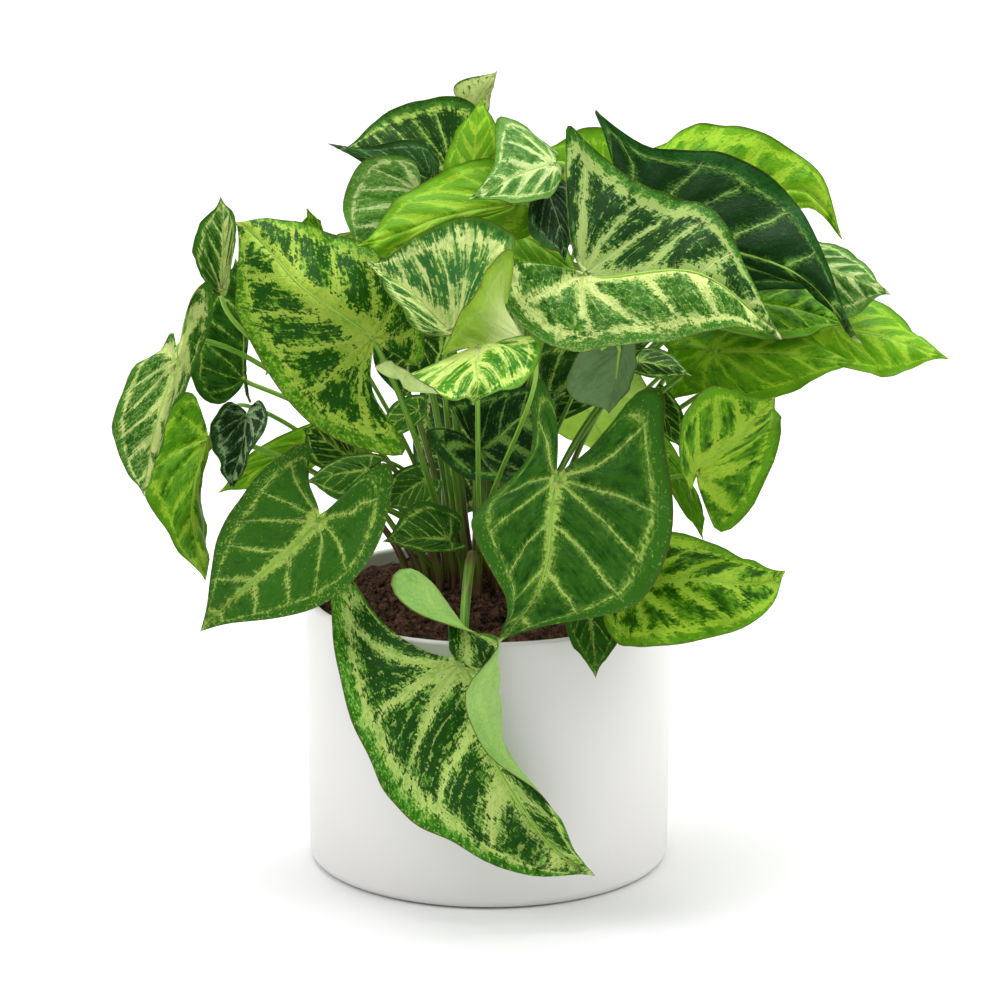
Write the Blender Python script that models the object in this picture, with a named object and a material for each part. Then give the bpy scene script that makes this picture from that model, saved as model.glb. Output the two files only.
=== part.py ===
"""A potted syngonium: big arrowhead leaves on slender stalks, in a plain round cover pot filled with coir.

Lengths are in metres and +Z is up. The origin is the centre of the pot's flat base.
"""

from math import cos, exp, hypot, inf, pi, radians, sin

import bmesh
import bpy
import numpy as np
from mathutils.bvhtree import BVHTree
from mathutils.kdtree import KDTree

MM = 0.001

# Pot
RIM_RADIUS = 0.0750
BASE_RADIUS = 0.0734
POT_HEIGHT = 0.112
POT_WALL = 0.0035
POT_FLOOR = 0.005
BASE_ROUNDING = 0.004
RIM_ROUNDING = 0.0014
POT_SIDES = 56

# Soil
GAP = 0.0003
SOIL_EDGE = 0.106
SOIL_CROWN = 0.1145
SOIL_LUMP = 0.0009
MOUND_RADIUS = 0.038
SOIL_RINGS = 5
SOIL_SIDES = 32
CROWN = np.array([-0.003, 0.020])

# Stalks
FOOT_DEPTH = 0.104
COLLAR = 0.117
STALK_BASE = 0.0018
STALK_TOP = 0.0012
STALK_SIDES = 5
STALK_RINGS = 6
FOOT_SPACING = 0.0057
CROWN_SPREAD = 0.0225
STALK_CLEARANCE = 0.0037
STALK_SPACING = 0.0043
STALK_SAMPLES = 60
STALK_END = (0.05, 0.0)
OWN_BLADE_SHARE = 0.8
BOW_REACHES = (0.005, 0.010, 0.016, 0.024, 0.034, 0.046)
STALK_RISES = (0.42, 0.60, 0.25)
STALK_ARRIVALS = (0.15, 0.05)
HOLE_SIDES = 6

# Blades
BLADE_THICKNESS = 0.0009
ROWS_ALONG = 8
SMALL_LEAF = 0.045
SMALL_ROWS_ALONG = 6
ROWS_ACROSS = 2

# The view that the leaves' landmarks are read in: a camera looking along +Y and down
VIEW_TILT = radians(15.7)
VIEW_DISTANCE = 2.5
VIEW_HEIGHT = 0.1501
VIEW_FOCAL = 6164.0
VIEW_CENTRE = (488.5, 500.0)

# Places on a flat arrowhead blade one unit long, from the stalk's joint to the tip. The second number
# is across, positive on the right of someone who looks down on the upper side with the tip ahead
PLACES = {
    "joint": (0.0, 0.0), "rib": (0.5, 0.0), "rib_far": (0.78, 0.0), "tip": (1.0, 0.0),
    "right": (0.1, 0.5), "left": (0.1, -0.5), "right_half": (0.1, 0.25), "left_half": (0.1, -0.25),
    "right_mid": (0.33, 0.44), "right_far": (0.55, 0.31), "left_far": (0.55, -0.31),
    "left_mid": (0.33, -0.44), "left_half_far": (0.33, -0.22), "left_side": (-0.03, -0.51),
    "left_hook": (-0.44, -0.24), "left_sinus": (-0.2, -0.085), "left_shoulder": (-0.36, -0.44),
    "right_end": (0.82, 0.105), "left_end": (0.82, -0.105),
    "right_back": (-0.2, 0.49), "left_back": (-0.2, -0.49),
    "right_lobe": (-0.45, 0.36), "left_lobe": (-0.45, -0.36),
    "right_notch": (-0.30, 0.14), "left_notch": (-0.30, -0.14),
}

# Half of the flat blade's margin, from the tip round the lobe to the joint
HALF_MARGIN = np.array([
    (1.0, 0.0), (0.93, 0.035), (0.82, 0.105), (0.65, 0.24), (0.45, 0.385), (0.22, 0.485), (0.02, 0.52),
    (-0.16, 0.50), (-0.32, 0.45), (-0.43, 0.385), (-0.47, 0.31), (-0.44, 0.24), (-0.33, 0.16), (-0.2, 0.085),
    (-0.08, 0.03), (0.0, 0.0),
])
CREASE = 0.04
STIFFNESS = 0.002

# Landmarks of each visible leaf: pixel column, pixel row, and the place along Y in millimetres
SEEN_LEAVES = {
    "right_01": dict(
        joint=(585, 275, -52), tip=(783, 339, -88), rib=(692, 271, -78), right=(602, 345, -84),
        left=(655, 193, -40), right_lobe=(497, 287, -62), left_lobe=(571, 126, -8),
        left_far=(716, 214, -58), right_far=(690, 334, -94), left_back=(614, 165, -22),
        left_shoulder=(583, 138, -11), left_hook=(567, 141, -12), left_notch=(566, 190, -26),
        right_back=(548, 345, -78), right_notch=(535, 263, -58)),
    "right_02": dict(
        joint=(650, 240, -8), tip=(862, 346, -52), rib=(775, 264, -36), left=(712, 152, 0),
        left_lobe=(597, 110, 16), left_shoulder=(613, 124, 14), left_hook=(601, 124, 14),
        left_back=(650, 148, 10), left_far=(800, 208, -20), right_far=(803, 287, -27),
        right_end=(838, 315, -42), right=(690, 300, -24), right_lobe=(600, 290, -5)),
    "right_03": dict(
        joint=(655, 205, 28), tip=(843, 240, 14), rib=(760, 196, 22), left=(705, 126, 46),
        left_far=(774, 140, 32), left_end=(826, 182, 20), right_end=(812, 207, 14),
        right=(690, 260, 10), left_lobe=(640, 160, 50)),
    "right_04": dict(
        joint=(800, 262, 2), tip=(891, 294, -14), left=(836, 246, 12), right=(830, 318, -12)),
    "right_05": dict(
        joint=(835, 328, -6), tip=(949, 358, -18), left=(872, 298, 10), right=(868, 372, -22),
        left_far=(912, 330, -2), right_far=(898, 374, -24)),
    "right_06": dict(
        joint=(716, 352, -14), tip=(858, 364, -34), left=(748, 318, -4), right=(752, 402, -30),
        right_lobe=(690, 388, -14), left_lobe=(668, 342, -2), right_far=(806, 384, -36)),
    "right_07": dict(
        joint=(722, 300, -8), tip=(849, 325, -24), left=(764, 270, 2), right=(758, 337, -26),
        left_far=(808, 282, -8), right_far=(802, 336, -30)),
    "right_08": dict(
        joint=(697, 473, -46), tip=(776, 397, -38), right=(776, 448, -34), right_lobe=(729, 530, -46),
        left=(681, 432, -56), left_lobe=(689, 492, -52), left_back=(680, 462, -56),
        left_far=(714, 386, -48), right_far=(779, 415, -34), right_back=(757, 500, -38)),
    "right_09": dict(
        joint=(668, 456, -24), tip=(704, 541, -44), right=(672, 492, -34), left=(698, 496, -34)),
    "right_10": dict(
        joint=(640, 583, -68), tip=(786, 570, -62), right=(650, 645, -88), left=(658, 530, -54),
        right_lobe=(606, 628, -84), left_lobe=(606, 548, -52), rib=(712, 580, -76),
        right_far=(744, 627, -84), left_far=(738, 555, -60), right_end=(776, 600, -74)),
    "right_11": dict(
        joint=(588, 598, -64), tip=(596, 678, -86), right=(566, 624, -76), left=(624, 618, -74)),
    "right_12": dict(
        joint=(557, 480, -64), tip=(498, 643, -94), rib=(547, 562, -88), right=(481, 505, -72),
        right_mid=(474, 534, -80), left=(671, 515, -76), right_lobe=(532, 384, -34),
        left_lobe=(660, 388, -34), right_far=(503, 588, -90), left_far=(628, 608, -94),
        right_back=(530, 458, -54), left_back=(664, 440, -52), right_notch=(557, 420, -44),
        left_notch=(600, 440, -46)),
    "right_13": dict(
        joint=(478, 449, -12), tip=(566, 392, -26), left=(478, 392, -8), right=(500, 481, -30),
        right_lobe=(426, 438, -18), right_back=(459, 474, -28), right_notch=(455, 430, -14),
        left_lobe=(450, 400, -2), right_far=(545, 462, -32)),
    "right_14": dict(
        joint=(548, 398, -6), tip=(652, 340, -34), left=(540, 346, 2), right=(600, 400, -24)),
    "right_15": dict(
        joint=(620, 352, -38), tip=(609, 414, -46), left=(568, 386, -38), right=(634, 374, -46)),
    "right_16": dict(
        joint=(640, 362, -22), tip=(692, 376, -34), left=(662, 350, -16), right=(655, 378, -30)),
    "right_17": dict(
        joint=(716, 336, 16), tip=(664, 404, 10), left=(722, 376, 12), right=(676, 334, 18)),
    "right_18": dict(
        joint=(658, 402, 4), tip=(681, 448, -4), left=(682, 412, 0), right=(656, 428, -2)),
    "left_01": dict(
        joint=(372, 338, -50), tip=(236, 222, -42), rib=(300, 285, -60), right=(407, 268, -30),
        left=(293, 403, -64), right_lobe=(425, 352, -38), left_lobe=(402, 455, -58),
        right_far=(328, 233, -28), right_end=(268, 217, -36), left_far=(238, 305, -54),
        left_notch=(374, 395, -54), left_back=(340, 441, -62)),
    "left_02": dict(
        joint=(452, 332, -64), tip=(368, 262, -72), right=(468, 219, -36), right_lobe=(515, 247, -46),
        right_back=(505, 229, -38), right_far=(408, 243, -62), left=(409, 318, -88),
        left_lobe=(434, 335, -78), left_far=(386, 287, -86)),
    "left_03": dict(
        joint=(528, 344, -72), tip=(441, 354, -86), left=(480, 289, -84), left_far=(458, 320, -86),
        left_lobe=(514, 251, -70), left_notch=(506, 316, -66), left_sinus=(516, 325, -68),
        right=(500, 344, -60), right_lobe=(534, 340, -60)),
    "left_04": dict(
        joint=(480, 347, -84), tip=(474, 405, -118), rib=(478, 374, -110), left=(528, 378, -100),
        left_lobe=(532, 335, -86), left_back=(541, 352, -92), right_half=(414, 393, -108),
        right=(410, 372, -116), right_back=(388, 361, -106), right_lobe=(377, 367, -98),
        right_notch=(408, 376, -88), right_mid=(434, 390, -121), right_far=(455, 400, -122)),
    "left_05": dict(
        joint=(326, 262, 12), tip=(307, 208, 6), right=(325, 235, 14), left=(300, 240, 0)),
    "left_06": dict(
        joint=(318, 520, -62), tip=(200, 632, -66), right=(250, 488, -66), right_lobe=(304, 443, -50),
        right_far=(216, 547, -70), left=(352, 580, -74), left_lobe=(391, 468, -44),
        left_back=(384, 530, -58), left_far=(285, 616, -76), right_notch=(308, 478, -54),
        left_notch=(346, 492, -52)),
    "left_07": dict(
        joint=(176, 362, -52), tip=(144, 497, -58), rib=(155, 430, -66), rib_far=(148, 468, -64),
        right=(122, 396, -58), right_mid=(114, 420, -60), right_far=(116, 444, -62),
        right_end=(132, 478, -60), right_lobe=(162, 352, -46), right_back=(138, 363, -52),
        left=(190, 377, -44), left_far=(166, 425, -54), left_lobe=(212, 284, -34),
        left_back=(210, 328, -38), left_notch=(189, 301, -40)),
    "left_08": dict(
        joint=(222, 290, -26), tip=(221, 196, -14), left=(194, 252, -30), left_far=(202, 222, -24),
        right=(235, 240, -22), right_far=(234, 214, -18), right_lobe=(229, 284, -22),
        left_lobe=(206, 282, -30)),
    "left_09": dict(
        joint=(207, 440, -18), tip=(206, 581, -34), rib=(191, 512, -40), rib_far=(197, 548, -40),
        right=(142, 478, -32), right_far=(168, 530, -42), right_lobe=(181, 394, -10),
        right_end=(186, 560, -38), left=(200, 480, -22), left_far=(204, 522, -30),
        left_end=(210, 558, -32), left_lobe=(213, 434, -10)),
    "left_10": dict(
        joint=(243, 378, 0), tip=(236, 258, 8), left=(192, 362, -10), left_lobe=(208, 402, -8),
        left_far=(200, 310, -2), right=(242, 350, 6), right_far=(246, 306, 8),
        right_lobe=(249, 400, 2)),
    "left_11": dict(
        joint=(246, 416, -12), tip=(232, 490, -34), left=(266, 426, -16), left_far=(247, 458, -30),
        left_end=(242, 476, -32), right=(211, 438, -32), right_far=(220, 460, -34),
        right_end=(223, 475, -34), left_lobe=(262, 402, -8), right_lobe=(224, 404, -22)),
    "left_12": dict(
        joint=(304, 444, 12), tip=(218, 493, 4), right=(262, 446, 10), left=(290, 480, 4)),
    "left_13": dict(
        joint=(350, 458, 6), tip=(302, 428, 0), right=(332, 420, 6), left=(312, 462, -4)),
    "left_14": dict(
        joint=(366, 470, -8), tip=(306, 482, -14), right=(345, 456, -4), left=(348, 500, -18)),
    "left_15": dict(
        joint=(463, 662, -90), tip=(595, 876, -98), rib=(497, 768, -104), right=(364, 745, -78),
        right_lobe=(332, 574, -58), right_back=(336, 650, -68), right_far=(436, 834, -92),
        right_end=(535, 876, -98), right_notch=(385, 626, -72), left_far=(553, 808, -99),
        left=(468, 688, -115), left_half=(504, 694, -99), left_mid=(492, 756, -113),
        left_half_far=(508, 748, -103), left_side=(497, 643, -106), left_back=(468, 629, -104),
        left_lobe=(391, 592, -78), left_hook=(414, 568, -70), left_notch=(446, 603, -82),
        left_sinus=(449, 642, -97)),
    "left_16": dict(
        joint=(447, 540, -30), tip=(383, 541, -46), right=(420, 503, -28), left=(425, 552, -42)),
    "left_17": dict(
        joint=(417, 411, 8), tip=(380, 432, 0), right=(396, 402, 8), left=(402, 434, 0)),
    "left_18": dict(
        joint=(424, 480, 8), tip=(383, 508, -4), right=(394, 474, 4), left=(420, 510, -4)),
    "left_19": dict(
        joint=(414, 334, -22), tip=(400, 402, -26), right=(374, 352, -28), left=(444, 360, -22)),
    "top_01": dict(
        joint=(448, 168, 24), tip=(341, 150, 16), right=(431, 100, 38), right_far=(381, 117, 30),
        right_lobe=(478, 110, 34), left=(430, 205, 18), left_lobe=(470, 200, 20)),
    "top_02": dict(
        joint=(474, 106, 46), tip=(497, 71, 46), right=(490, 98, 46), left=(455, 86, 50),
        right_lobe=(488, 112, 44), left_lobe=(462, 104, 48)),
    "top_03": dict(
        joint=(472, 178, 2), tip=(482, 97, 22), right=(500, 150, 8), left=(446, 160, 10)),
    "top_04": dict(
        joint=(553, 165, -14), tip=(469, 199, -32), right=(501, 117, 4), right_far=(496, 160, -18),
        right_lobe=(552, 148, 0), right_back=(532, 132, 4), left=(548, 197, -30),
        left_far=(510, 202, -34), left_lobe=(563, 176, -18)),
    "top_05": dict(
        joint=(515, 205, -14), tip=(357, 246, -40), right=(447, 172, -10), left=(430, 230, -34),
        right_lobe=(500, 163, -2), left_lobe=(526, 238, -22), right_far=(395, 203, -24),
        left_far=(385, 258, -40)),
    "top_06": dict(
        joint=(418, 192, -8), tip=(355, 256, -22), right=(360, 166, -8), right_far=(344, 212, -14),
        right_lobe=(402, 156, -6), left=(420, 252, -18), left_lobe=(445, 205, -8)),
    "top_07": dict(
        joint=(430, 180, 6), tip=(328, 143, -8), right=(418, 142, 8), right_mid=(402, 140, 2),
        right_far=(370, 147, -2), left_far=(360, 160, -6), left=(405, 187, 2), left_lobe=(430, 197, 4),
        right_lobe=(437, 160, 12)),
    "top_08": dict(
        joint=(590, 205, 50), tip=(541, 147, 38), right=(603, 130, 62), right_lobe=(645, 165, 62),
        left=(540, 215, 34), left_lobe=(590, 250, 42)),
    "top_09": dict(
        joint=(548, 190, -10), tip=(566, 262, -40), right=(531, 232, -32), left=(572, 214, -16),
        right_lobe=(532, 200, -20), left_lobe=(566, 182, -6)),
    "top_10": dict(
        joint=(505, 228, 8), tip=(583, 279, -20), left=(545, 222, 8), right=(515, 262, -8)),
}

# Landmarks of the leaves at the back, as X, Y and Z in millimetres, and the way that each upper side faces
BACK_LEAVES = {
    "back_01": dict(
        joint=(60, 88, 240), tip=(92, 128, 196), face=(0.3, 0.7, 0.6), width=0.8),
    "back_02": dict(
        joint=(-18, 70, 252), tip=(-42, 122, 208), face=(-0.2, 0.8, 0.6)),
    "back_03": dict(
        joint=(-54, 62, 212), tip=(-94, 96, 178), face=(-0.5, 0.6, 0.6), width=0.85),
    "back_04": dict(
        joint=(84, 58, 206), tip=(126, 88, 172), face=(0.5, 0.5, 0.7), width=0.9),
    "back_05": dict(
        joint=(12, 72, 218), tip=(14, 124, 170), face=(0, 0.8, 0.5), width=0.9),
    "back_06": dict(
        joint=(34, 60, 182), tip=(52, 108, 136), face=(0.2, 0.8, 0.5)),
    "back_07": dict(
        joint=(-4, 62, 274), tip=(-10, 110, 242), face=(0, 0.6, 0.8), width=0.85),
    "back_08": dict(
        joint=(-62, 48, 248), tip=(-92, 88, 226), face=(-0.4, 0.5, 0.8), width=0.85),
    "back_09": dict(
        joint=(112, 58, 236), tip=(146, 84, 206), face=(0.4, 0.6, 0.7), width=0.8),
    "back_10": dict(
        joint=(-6, 58, 164), tip=(-26, 74, 118), face=(0, -0.7, 0.7), width=1.1),
}


def seen_at(column, row, depth):
    """The point at this depth along Y (millimetres) that shows at this pixel."""
    eye = np.array([0.0, -VIEW_DISTANCE * cos(VIEW_TILT), VIEW_HEIGHT + VIEW_DISTANCE * sin(VIEW_TILT)])
    ahead = np.array([0.0, cos(VIEW_TILT), -sin(VIEW_TILT)])
    up = np.array([0.0, sin(VIEW_TILT), cos(VIEW_TILT)])
    ray = ahead + up * (VIEW_CENTRE[1] - row) / VIEW_FOCAL
    ray[0] += (column - VIEW_CENTRE[0]) / VIEW_FOCAL
    return eye + ray * (depth * MM - eye[1]) / ray[1]


def unit(vector):
    return vector / np.linalg.norm(vector)


def leaf_marks(spec, place):
    """The blade's landmarks in metres, with those that weren't read filled in, and its axis and facing."""
    marks = {name: place(*value) for name, value in spec.items() if name in PLACES}
    joint, tip = marks["joint"], marks["tip"]
    axis = tip - joint
    length = np.linalg.norm(axis)
    near = joint + 0.1 * axis
    right = (marks["right"] - near) / 0.5 if "right" in marks else None
    left = (near - marks["left"]) / 0.5 if "left" in marks else None
    if right is None and left is None:
        facing = np.array(spec["face"], float)
        facing = unit(facing - facing @ axis * axis / length ** 2)
        right = left = np.cross(axis, facing) * spec.get("width", 1.0)
    right = left if right is None else right
    left = right if left is None else left
    facing = unit(np.cross((right + left) / 2, axis))
    sink = -0.03 * length * facing
    guesses = {
        "rib": joint + 0.5 * axis + 0.06 * length * facing,
        "right": near + 0.5 * right + sink,
        "left": near - 0.5 * left + sink,
        "right_lobe": joint - 0.45 * axis + 0.36 * right + 1.6 * sink,
        "left_lobe": joint - 0.45 * axis - 0.36 * left + 1.6 * sink,
    }
    for name, point in guesses.items():
        marks.setdefault(name, point)
    return marks, axis, facing


def spline_terms(places):
    return np.stack([
        np.ones(len(places)), places[:, 0], places[:, 1], np.sqrt(places[:, 1] ** 2 + CREASE ** 2),
    ], axis=1)


def spline_kernel(first, second):
    square = ((first[:, None] - second[None]) ** 2).sum(axis=2)
    return np.where(square > 1e-12, 0.5 * square * np.log(np.maximum(square, 1e-12)), 0.0)


def leaf_surface(marks):
    """A function that bends the flat blade through its landmarks, as a thin sheet creased at the midrib."""
    places = np.array([PLACES[name] for name in marks])
    points = np.array(list(marks.values()))
    count = len(places)
    terms = spline_terms(places)
    system = np.zeros((count + 4, count + 4))
    system[:count, :count] = spline_kernel(places, places) + STIFFNESS * np.eye(count)
    system[:count, count:] = terms
    system[count:, :count] = terms.T
    weights = np.linalg.solve(system, np.concatenate([points, np.zeros((4, 3))]))

    def bend(flat):
        flat = np.asarray(flat, float)
        return np.concatenate([spline_kernel(flat, places), spline_terms(flat)], axis=1) @ weights

    return bend


def margin_points(shares):
    """Points of the half margin at these shares of its length, on a smooth curve through its corners."""
    before = 2 * HALF_MARGIN[:1] - HALF_MARGIN[1:2]
    after = 2 * HALF_MARGIN[-1:] - HALF_MARGIN[-2:-1]
    corners = np.concatenate([before, HALF_MARGIN, after])
    run = np.concatenate([[0], np.cumsum(np.linalg.norm(np.diff(HALF_MARGIN, axis=0), axis=1))])
    run /= run[-1]
    points = []
    for share in shares:
        k = min(max(int(np.searchsorted(run, share)) - 1, 0), len(run) - 2)
        t = (share - run[k]) / (run[k + 1] - run[k])
        a, b, c, d = corners[k:k + 4]
        curve = 2 * b + (c - a) * t + (2 * a - 5 * b + 4 * c - d) * t ** 2 + (3 * b - a - 3 * c + d) * t ** 3
        points.append(0.5 * curve)
    return np.array(points)


def flat_half(along, across):
    """Half of the flat blade: rows of points from the midrib to the margin, the first all at the tip."""
    margin = margin_points(np.linspace(0, 1, along + 1))
    widest = int(np.argmax(margin[:, 1]))
    rib = np.clip(1 - 1.5 * (1 - margin[:, 0]), 0, 1)
    rib[widest:] = 0
    foot = np.stack([rib, 0 * rib], axis=1)
    share = np.linspace(0, 1, across + 1)[None, :, None]
    return foot[:, None] + share * (margin - foot)[:, None]


def flat_blade(along, across):
    """Places and triangles of the whole flat blade. The upper side's triangles turn the same way."""
    rows = flat_half(along, across)
    places, index, triangles = [], {}, []

    def number(place):
        key = (round(place[0], 6), round(place[1], 6))
        if key not in index:
            index[key] = len(places)
            places.append(place)
        return index[key]

    for side in (1, -1):
        grid = [[number((u, side * v)) for u, v in row] for row in rows]
        for i in range(along - 1):
            for j in range(across):
                a, b, c, d = grid[i][j], grid[i + 1][j], grid[i + 1][j + 1], grid[i][j + 1]
                for triangle in ((a, b, c), (a, c, d)):
                    if len(set(triangle)) == 3:
                        triangles.append(triangle[::side])
    return np.array(places), triangles


def soil_height(x, y):
    """The height of the soil's top: a low mound at the crown that runs out flat to the pot's wall."""
    away = hypot(x - CROWN[0], y - CROWN[1])
    mound = (SOIL_CROWN - SOIL_EDGE) * exp(-(away / MOUND_RADIUS) ** 2)
    lumps = SOIL_LUMP * sin(190 * x + 1.3) * sin(230 * y + 0.4)
    return SOIL_EDGE + mound + lumps


def stalk_feet(joints):
    """Where each stalk leaves the soil: on its leaf's side of the crown, further out the lower it leans."""
    names = list(joints)
    away = np.array([joints[name][:2] for name in names]) - CROWN
    height = np.array([joints[name][2] for name in names]) - 0.085
    lean = np.hypot(*away.T) / np.maximum(height, 0.025)
    turn = np.arctan2(away[:, 1], away[:, 0])
    rank = np.argsort(np.argsort(lean, kind="stable"), kind="stable")
    radius = CROWN_SPREAD * np.sqrt((rank + 0.5) / len(names))
    feet = CROWN + np.stack([1.2 * radius * np.cos(turn), radius * np.sin(turn)], axis=1)
    for _ in range(200):
        apart = feet[:, None] - feet[None]
        distance = np.linalg.norm(apart, axis=2) + np.eye(len(feet))
        push = np.maximum(0, FOOT_SPACING - distance) / 2
        feet = feet + 0.6 * (apart / distance[..., None] * push[..., None]).sum(axis=1)
    return {name: feet[k] for k, name in enumerate(names)}


def stalk_curve(foot, marks, axis, facing, bow, count):
    """A stalk's points above the soil: a curve that comes to the blade from behind and below."""
    joint = marks["joint"]
    start = np.array([foot[0], foot[1], COLLAR])
    reach = np.linalg.norm(joint - start)
    lean = 0.15 * (joint - start) * (1, 1, 0)
    rise = start + lean + (0, 0, bow[3] * reach)
    arrive = joint - bow[4] * reach * (unit(axis) + facing)
    side = np.array([cos(bow[0]), sin(bow[0]), 0.0]) * bow[1]
    t = np.linspace(0, 1, count)[:, None]
    corners = (start, rise + side, arrive + 0.6 * side + (0, 0, bow[2]), joint)
    return sum(k * t ** i * (1 - t) ** (3 - i) * c for i, (k, c) in enumerate(zip((1, 3, 3, 1), corners)))


def stalk_bows():
    """Bows to try on a stalk, the least first: turn, reach, lift and the lengths of its two tangents."""
    tangents = [(rise, arrive) for rise in STALK_RISES for arrive in STALK_ARRIVALS]
    bows = [(0.0, 0.0, 0.0, *tangent) for tangent in tangents]
    for reach in BOW_REACHES:
        for tangent in tangents:
            for lift in (0.0, 0.6 * reach):
                bows += [(pi / 4 * k, reach, lift, *tangent) for k in range(8)]
    return bows


def samples_along(points, count):
    run = np.concatenate([[0], np.cumsum(np.linalg.norm(np.diff(points, axis=0), axis=1))])
    at = np.linspace(0, run[-1], count)
    return np.stack([np.interp(at, run, points[:, k]) for k in range(3)], axis=1)


def shortfall(samples, others, own, stalks, worst):
    """How far a stalk comes inside its clearances to the blades, the stalks, the pot and the soil."""
    missing = 0.0
    for k, point in enumerate(samples):
        if missing >= worst:
            return missing
        apart = stalks.find(point)[2]
        missing += 0.0 if apart is None else max(0.0, STALK_SPACING - apart)
        near = others.find_nearest(point, STALK_CLEARANCE)[3]
        missing += 0.0 if near is None else STALK_CLEARANCE - near
        if k < OWN_BLADE_SHARE * len(samples):
            near = own.find_nearest(point, STALK_CLEARANCE)[3]
            missing += 0.0 if near is None else STALK_CLEARANCE - near
        radius = hypot(point[0], point[1])
        by_wall = RIM_RADIUS - POT_WALL - STALK_CLEARANCE < radius < RIM_RADIUS + STALK_CLEARANCE
        if by_wall and point[2] < POT_HEIGHT + STALK_CLEARANCE:
            missing += POT_HEIGHT + STALK_CLEARANCE - point[2]
        if radius < RIM_RADIUS and k > 1:
            missing += max(0.0, soil_height(*point[:2]) + STALK_CLEARANCE / 2 - point[2])
    return missing


def route_stalks(leaves):
    """Gives each leaf its stalk: the least bowed one that keeps clear of everything placed before it."""
    feet = stalk_feet({name: leaf["marks"]["joint"] for name, leaf in leaves.items()})
    bows = stalk_bows()
    placed = []
    for name, leaf in leaves.items():
        points, triangles = [], []
        for other, neighbour in leaves.items():
            if other != name:
                triangles += [tuple(len(points) + k for k in triangle) for triangle in neighbour["triangles"]]
                points += neighbour["points"].tolist()
        others = BVHTree.FromPolygons(points, triangles)
        own = BVHTree.FromPolygons(leaf["points"].tolist(), leaf["triangles"])
        stalks = KDTree(len(placed))
        for k, point in enumerate(placed):
            stalks.insert(point, k)
        stalks.balance()
        best = (inf, None, None)
        for bow in bows:
            curve = stalk_curve(feet[name], leaf["marks"], leaf["axis"], leaf["facing"], bow, STALK_RINGS)
            samples = samples_along(curve, STALK_SAMPLES)
            missing = shortfall(samples, others, own, stalks, best[0])
            if missing < best[0]:
                best = (missing, curve, samples)
            if missing == 0:
                break
        leaf["stalk"] = best[1]
        leaf["missing"] = best[0]
        placed += best[2].tolist()


def all_leaves():
    """Each leaf's landmarks, its bent blade and its stalk."""
    specs = [("leaf_" + name, spec, seen_at) for name, spec in SEEN_LEAVES.items()]
    specs += [("leaf_" + name, spec, lambda *at: np.array(at) * MM) for name, spec in BACK_LEAVES.items()]
    leaves = {}
    for name, spec, place in specs:
        marks, axis, facing = leaf_marks(spec, place)
        rows = ROWS_ALONG if np.linalg.norm(axis) > SMALL_LEAF else SMALL_ROWS_ALONG
        places, triangles = flat_blade(rows, ROWS_ACROSS)
        bend = leaf_surface(marks)
        leaves[name] = dict(marks=marks, axis=axis, facing=facing, points=bend(places), triangles=triangles,
                            root=bend([STALK_END])[0])
    route_stalks(leaves)
    return leaves


def material(name, colour, roughness, coat=0.0):
    made = bpy.data.materials.new(name)
    made.use_nodes = True
    shader = made.node_tree.nodes["Principled BSDF"]
    shader.inputs["Base Color"].default_value = (*colour, 1.0)
    shader.inputs["Roughness"].default_value = roughness
    shader.inputs["Metallic"].default_value = 0.0
    shader.inputs["Coat Weight"].default_value = coat
    return made


def add_object(name, mesh, parent, surface=None):
    made = bpy.data.objects.new(name, mesh)
    bpy.context.scene.collection.objects.link(made)
    made.parent = parent
    if surface:
        mesh.materials.append(surface)
    return made


def hide_helper(helper):
    helper.hide_render = True
    helper.display_type = "WIRE"


def pot_outer(height):
    return BASE_RADIUS + (RIM_RADIUS - BASE_RADIUS) * height / POT_HEIGHT


def arc(centre, radius, start, end, steps):
    angles = [radians(start + (end - start) * k / steps) for k in range(steps + 1)]
    return [(centre[0] + radius * cos(angle), centre[1] + radius * sin(angle)) for angle in angles]


def add_pot(parent):
    """The turned pot: its profile runs from the floor's centre up inside, over the rim and down outside."""
    rim = POT_HEIGHT - RIM_ROUNDING
    outer, inner = pot_outer(POT_HEIGHT), pot_outer(POT_HEIGHT) - POT_WALL
    profile = [(0, POT_FLOOR), (pot_outer(POT_FLOOR) - POT_WALL, POT_FLOOR)]
    profile += arc((inner + RIM_ROUNDING, rim), RIM_ROUNDING, 180, 90, 2)
    profile += arc((outer - RIM_ROUNDING, rim), RIM_ROUNDING, 90, 0, 2)
    profile += arc((BASE_RADIUS - BASE_ROUNDING, BASE_ROUNDING), BASE_ROUNDING, 0, -90, 3)
    profile.append((0, 0))
    mesh = bpy.data.meshes.new("pot")
    mesh.from_pydata([(x, 0, z) for x, z in profile], [(k, k + 1) for k in range(len(profile) - 1)], [])
    pot = add_object("pot", mesh, parent, material("pot_glaze", (0.80, 0.80, 0.79), 0.35, 0.2))
    screw = pot.modifiers.new("turn", "SCREW")
    screw.axis = "Z"
    screw.steps = screw.render_steps = POT_SIDES
    screw.use_merge_vertices = True
    screw.merge_threshold = 0.00001
    screw.use_smooth_shade = True


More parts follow.
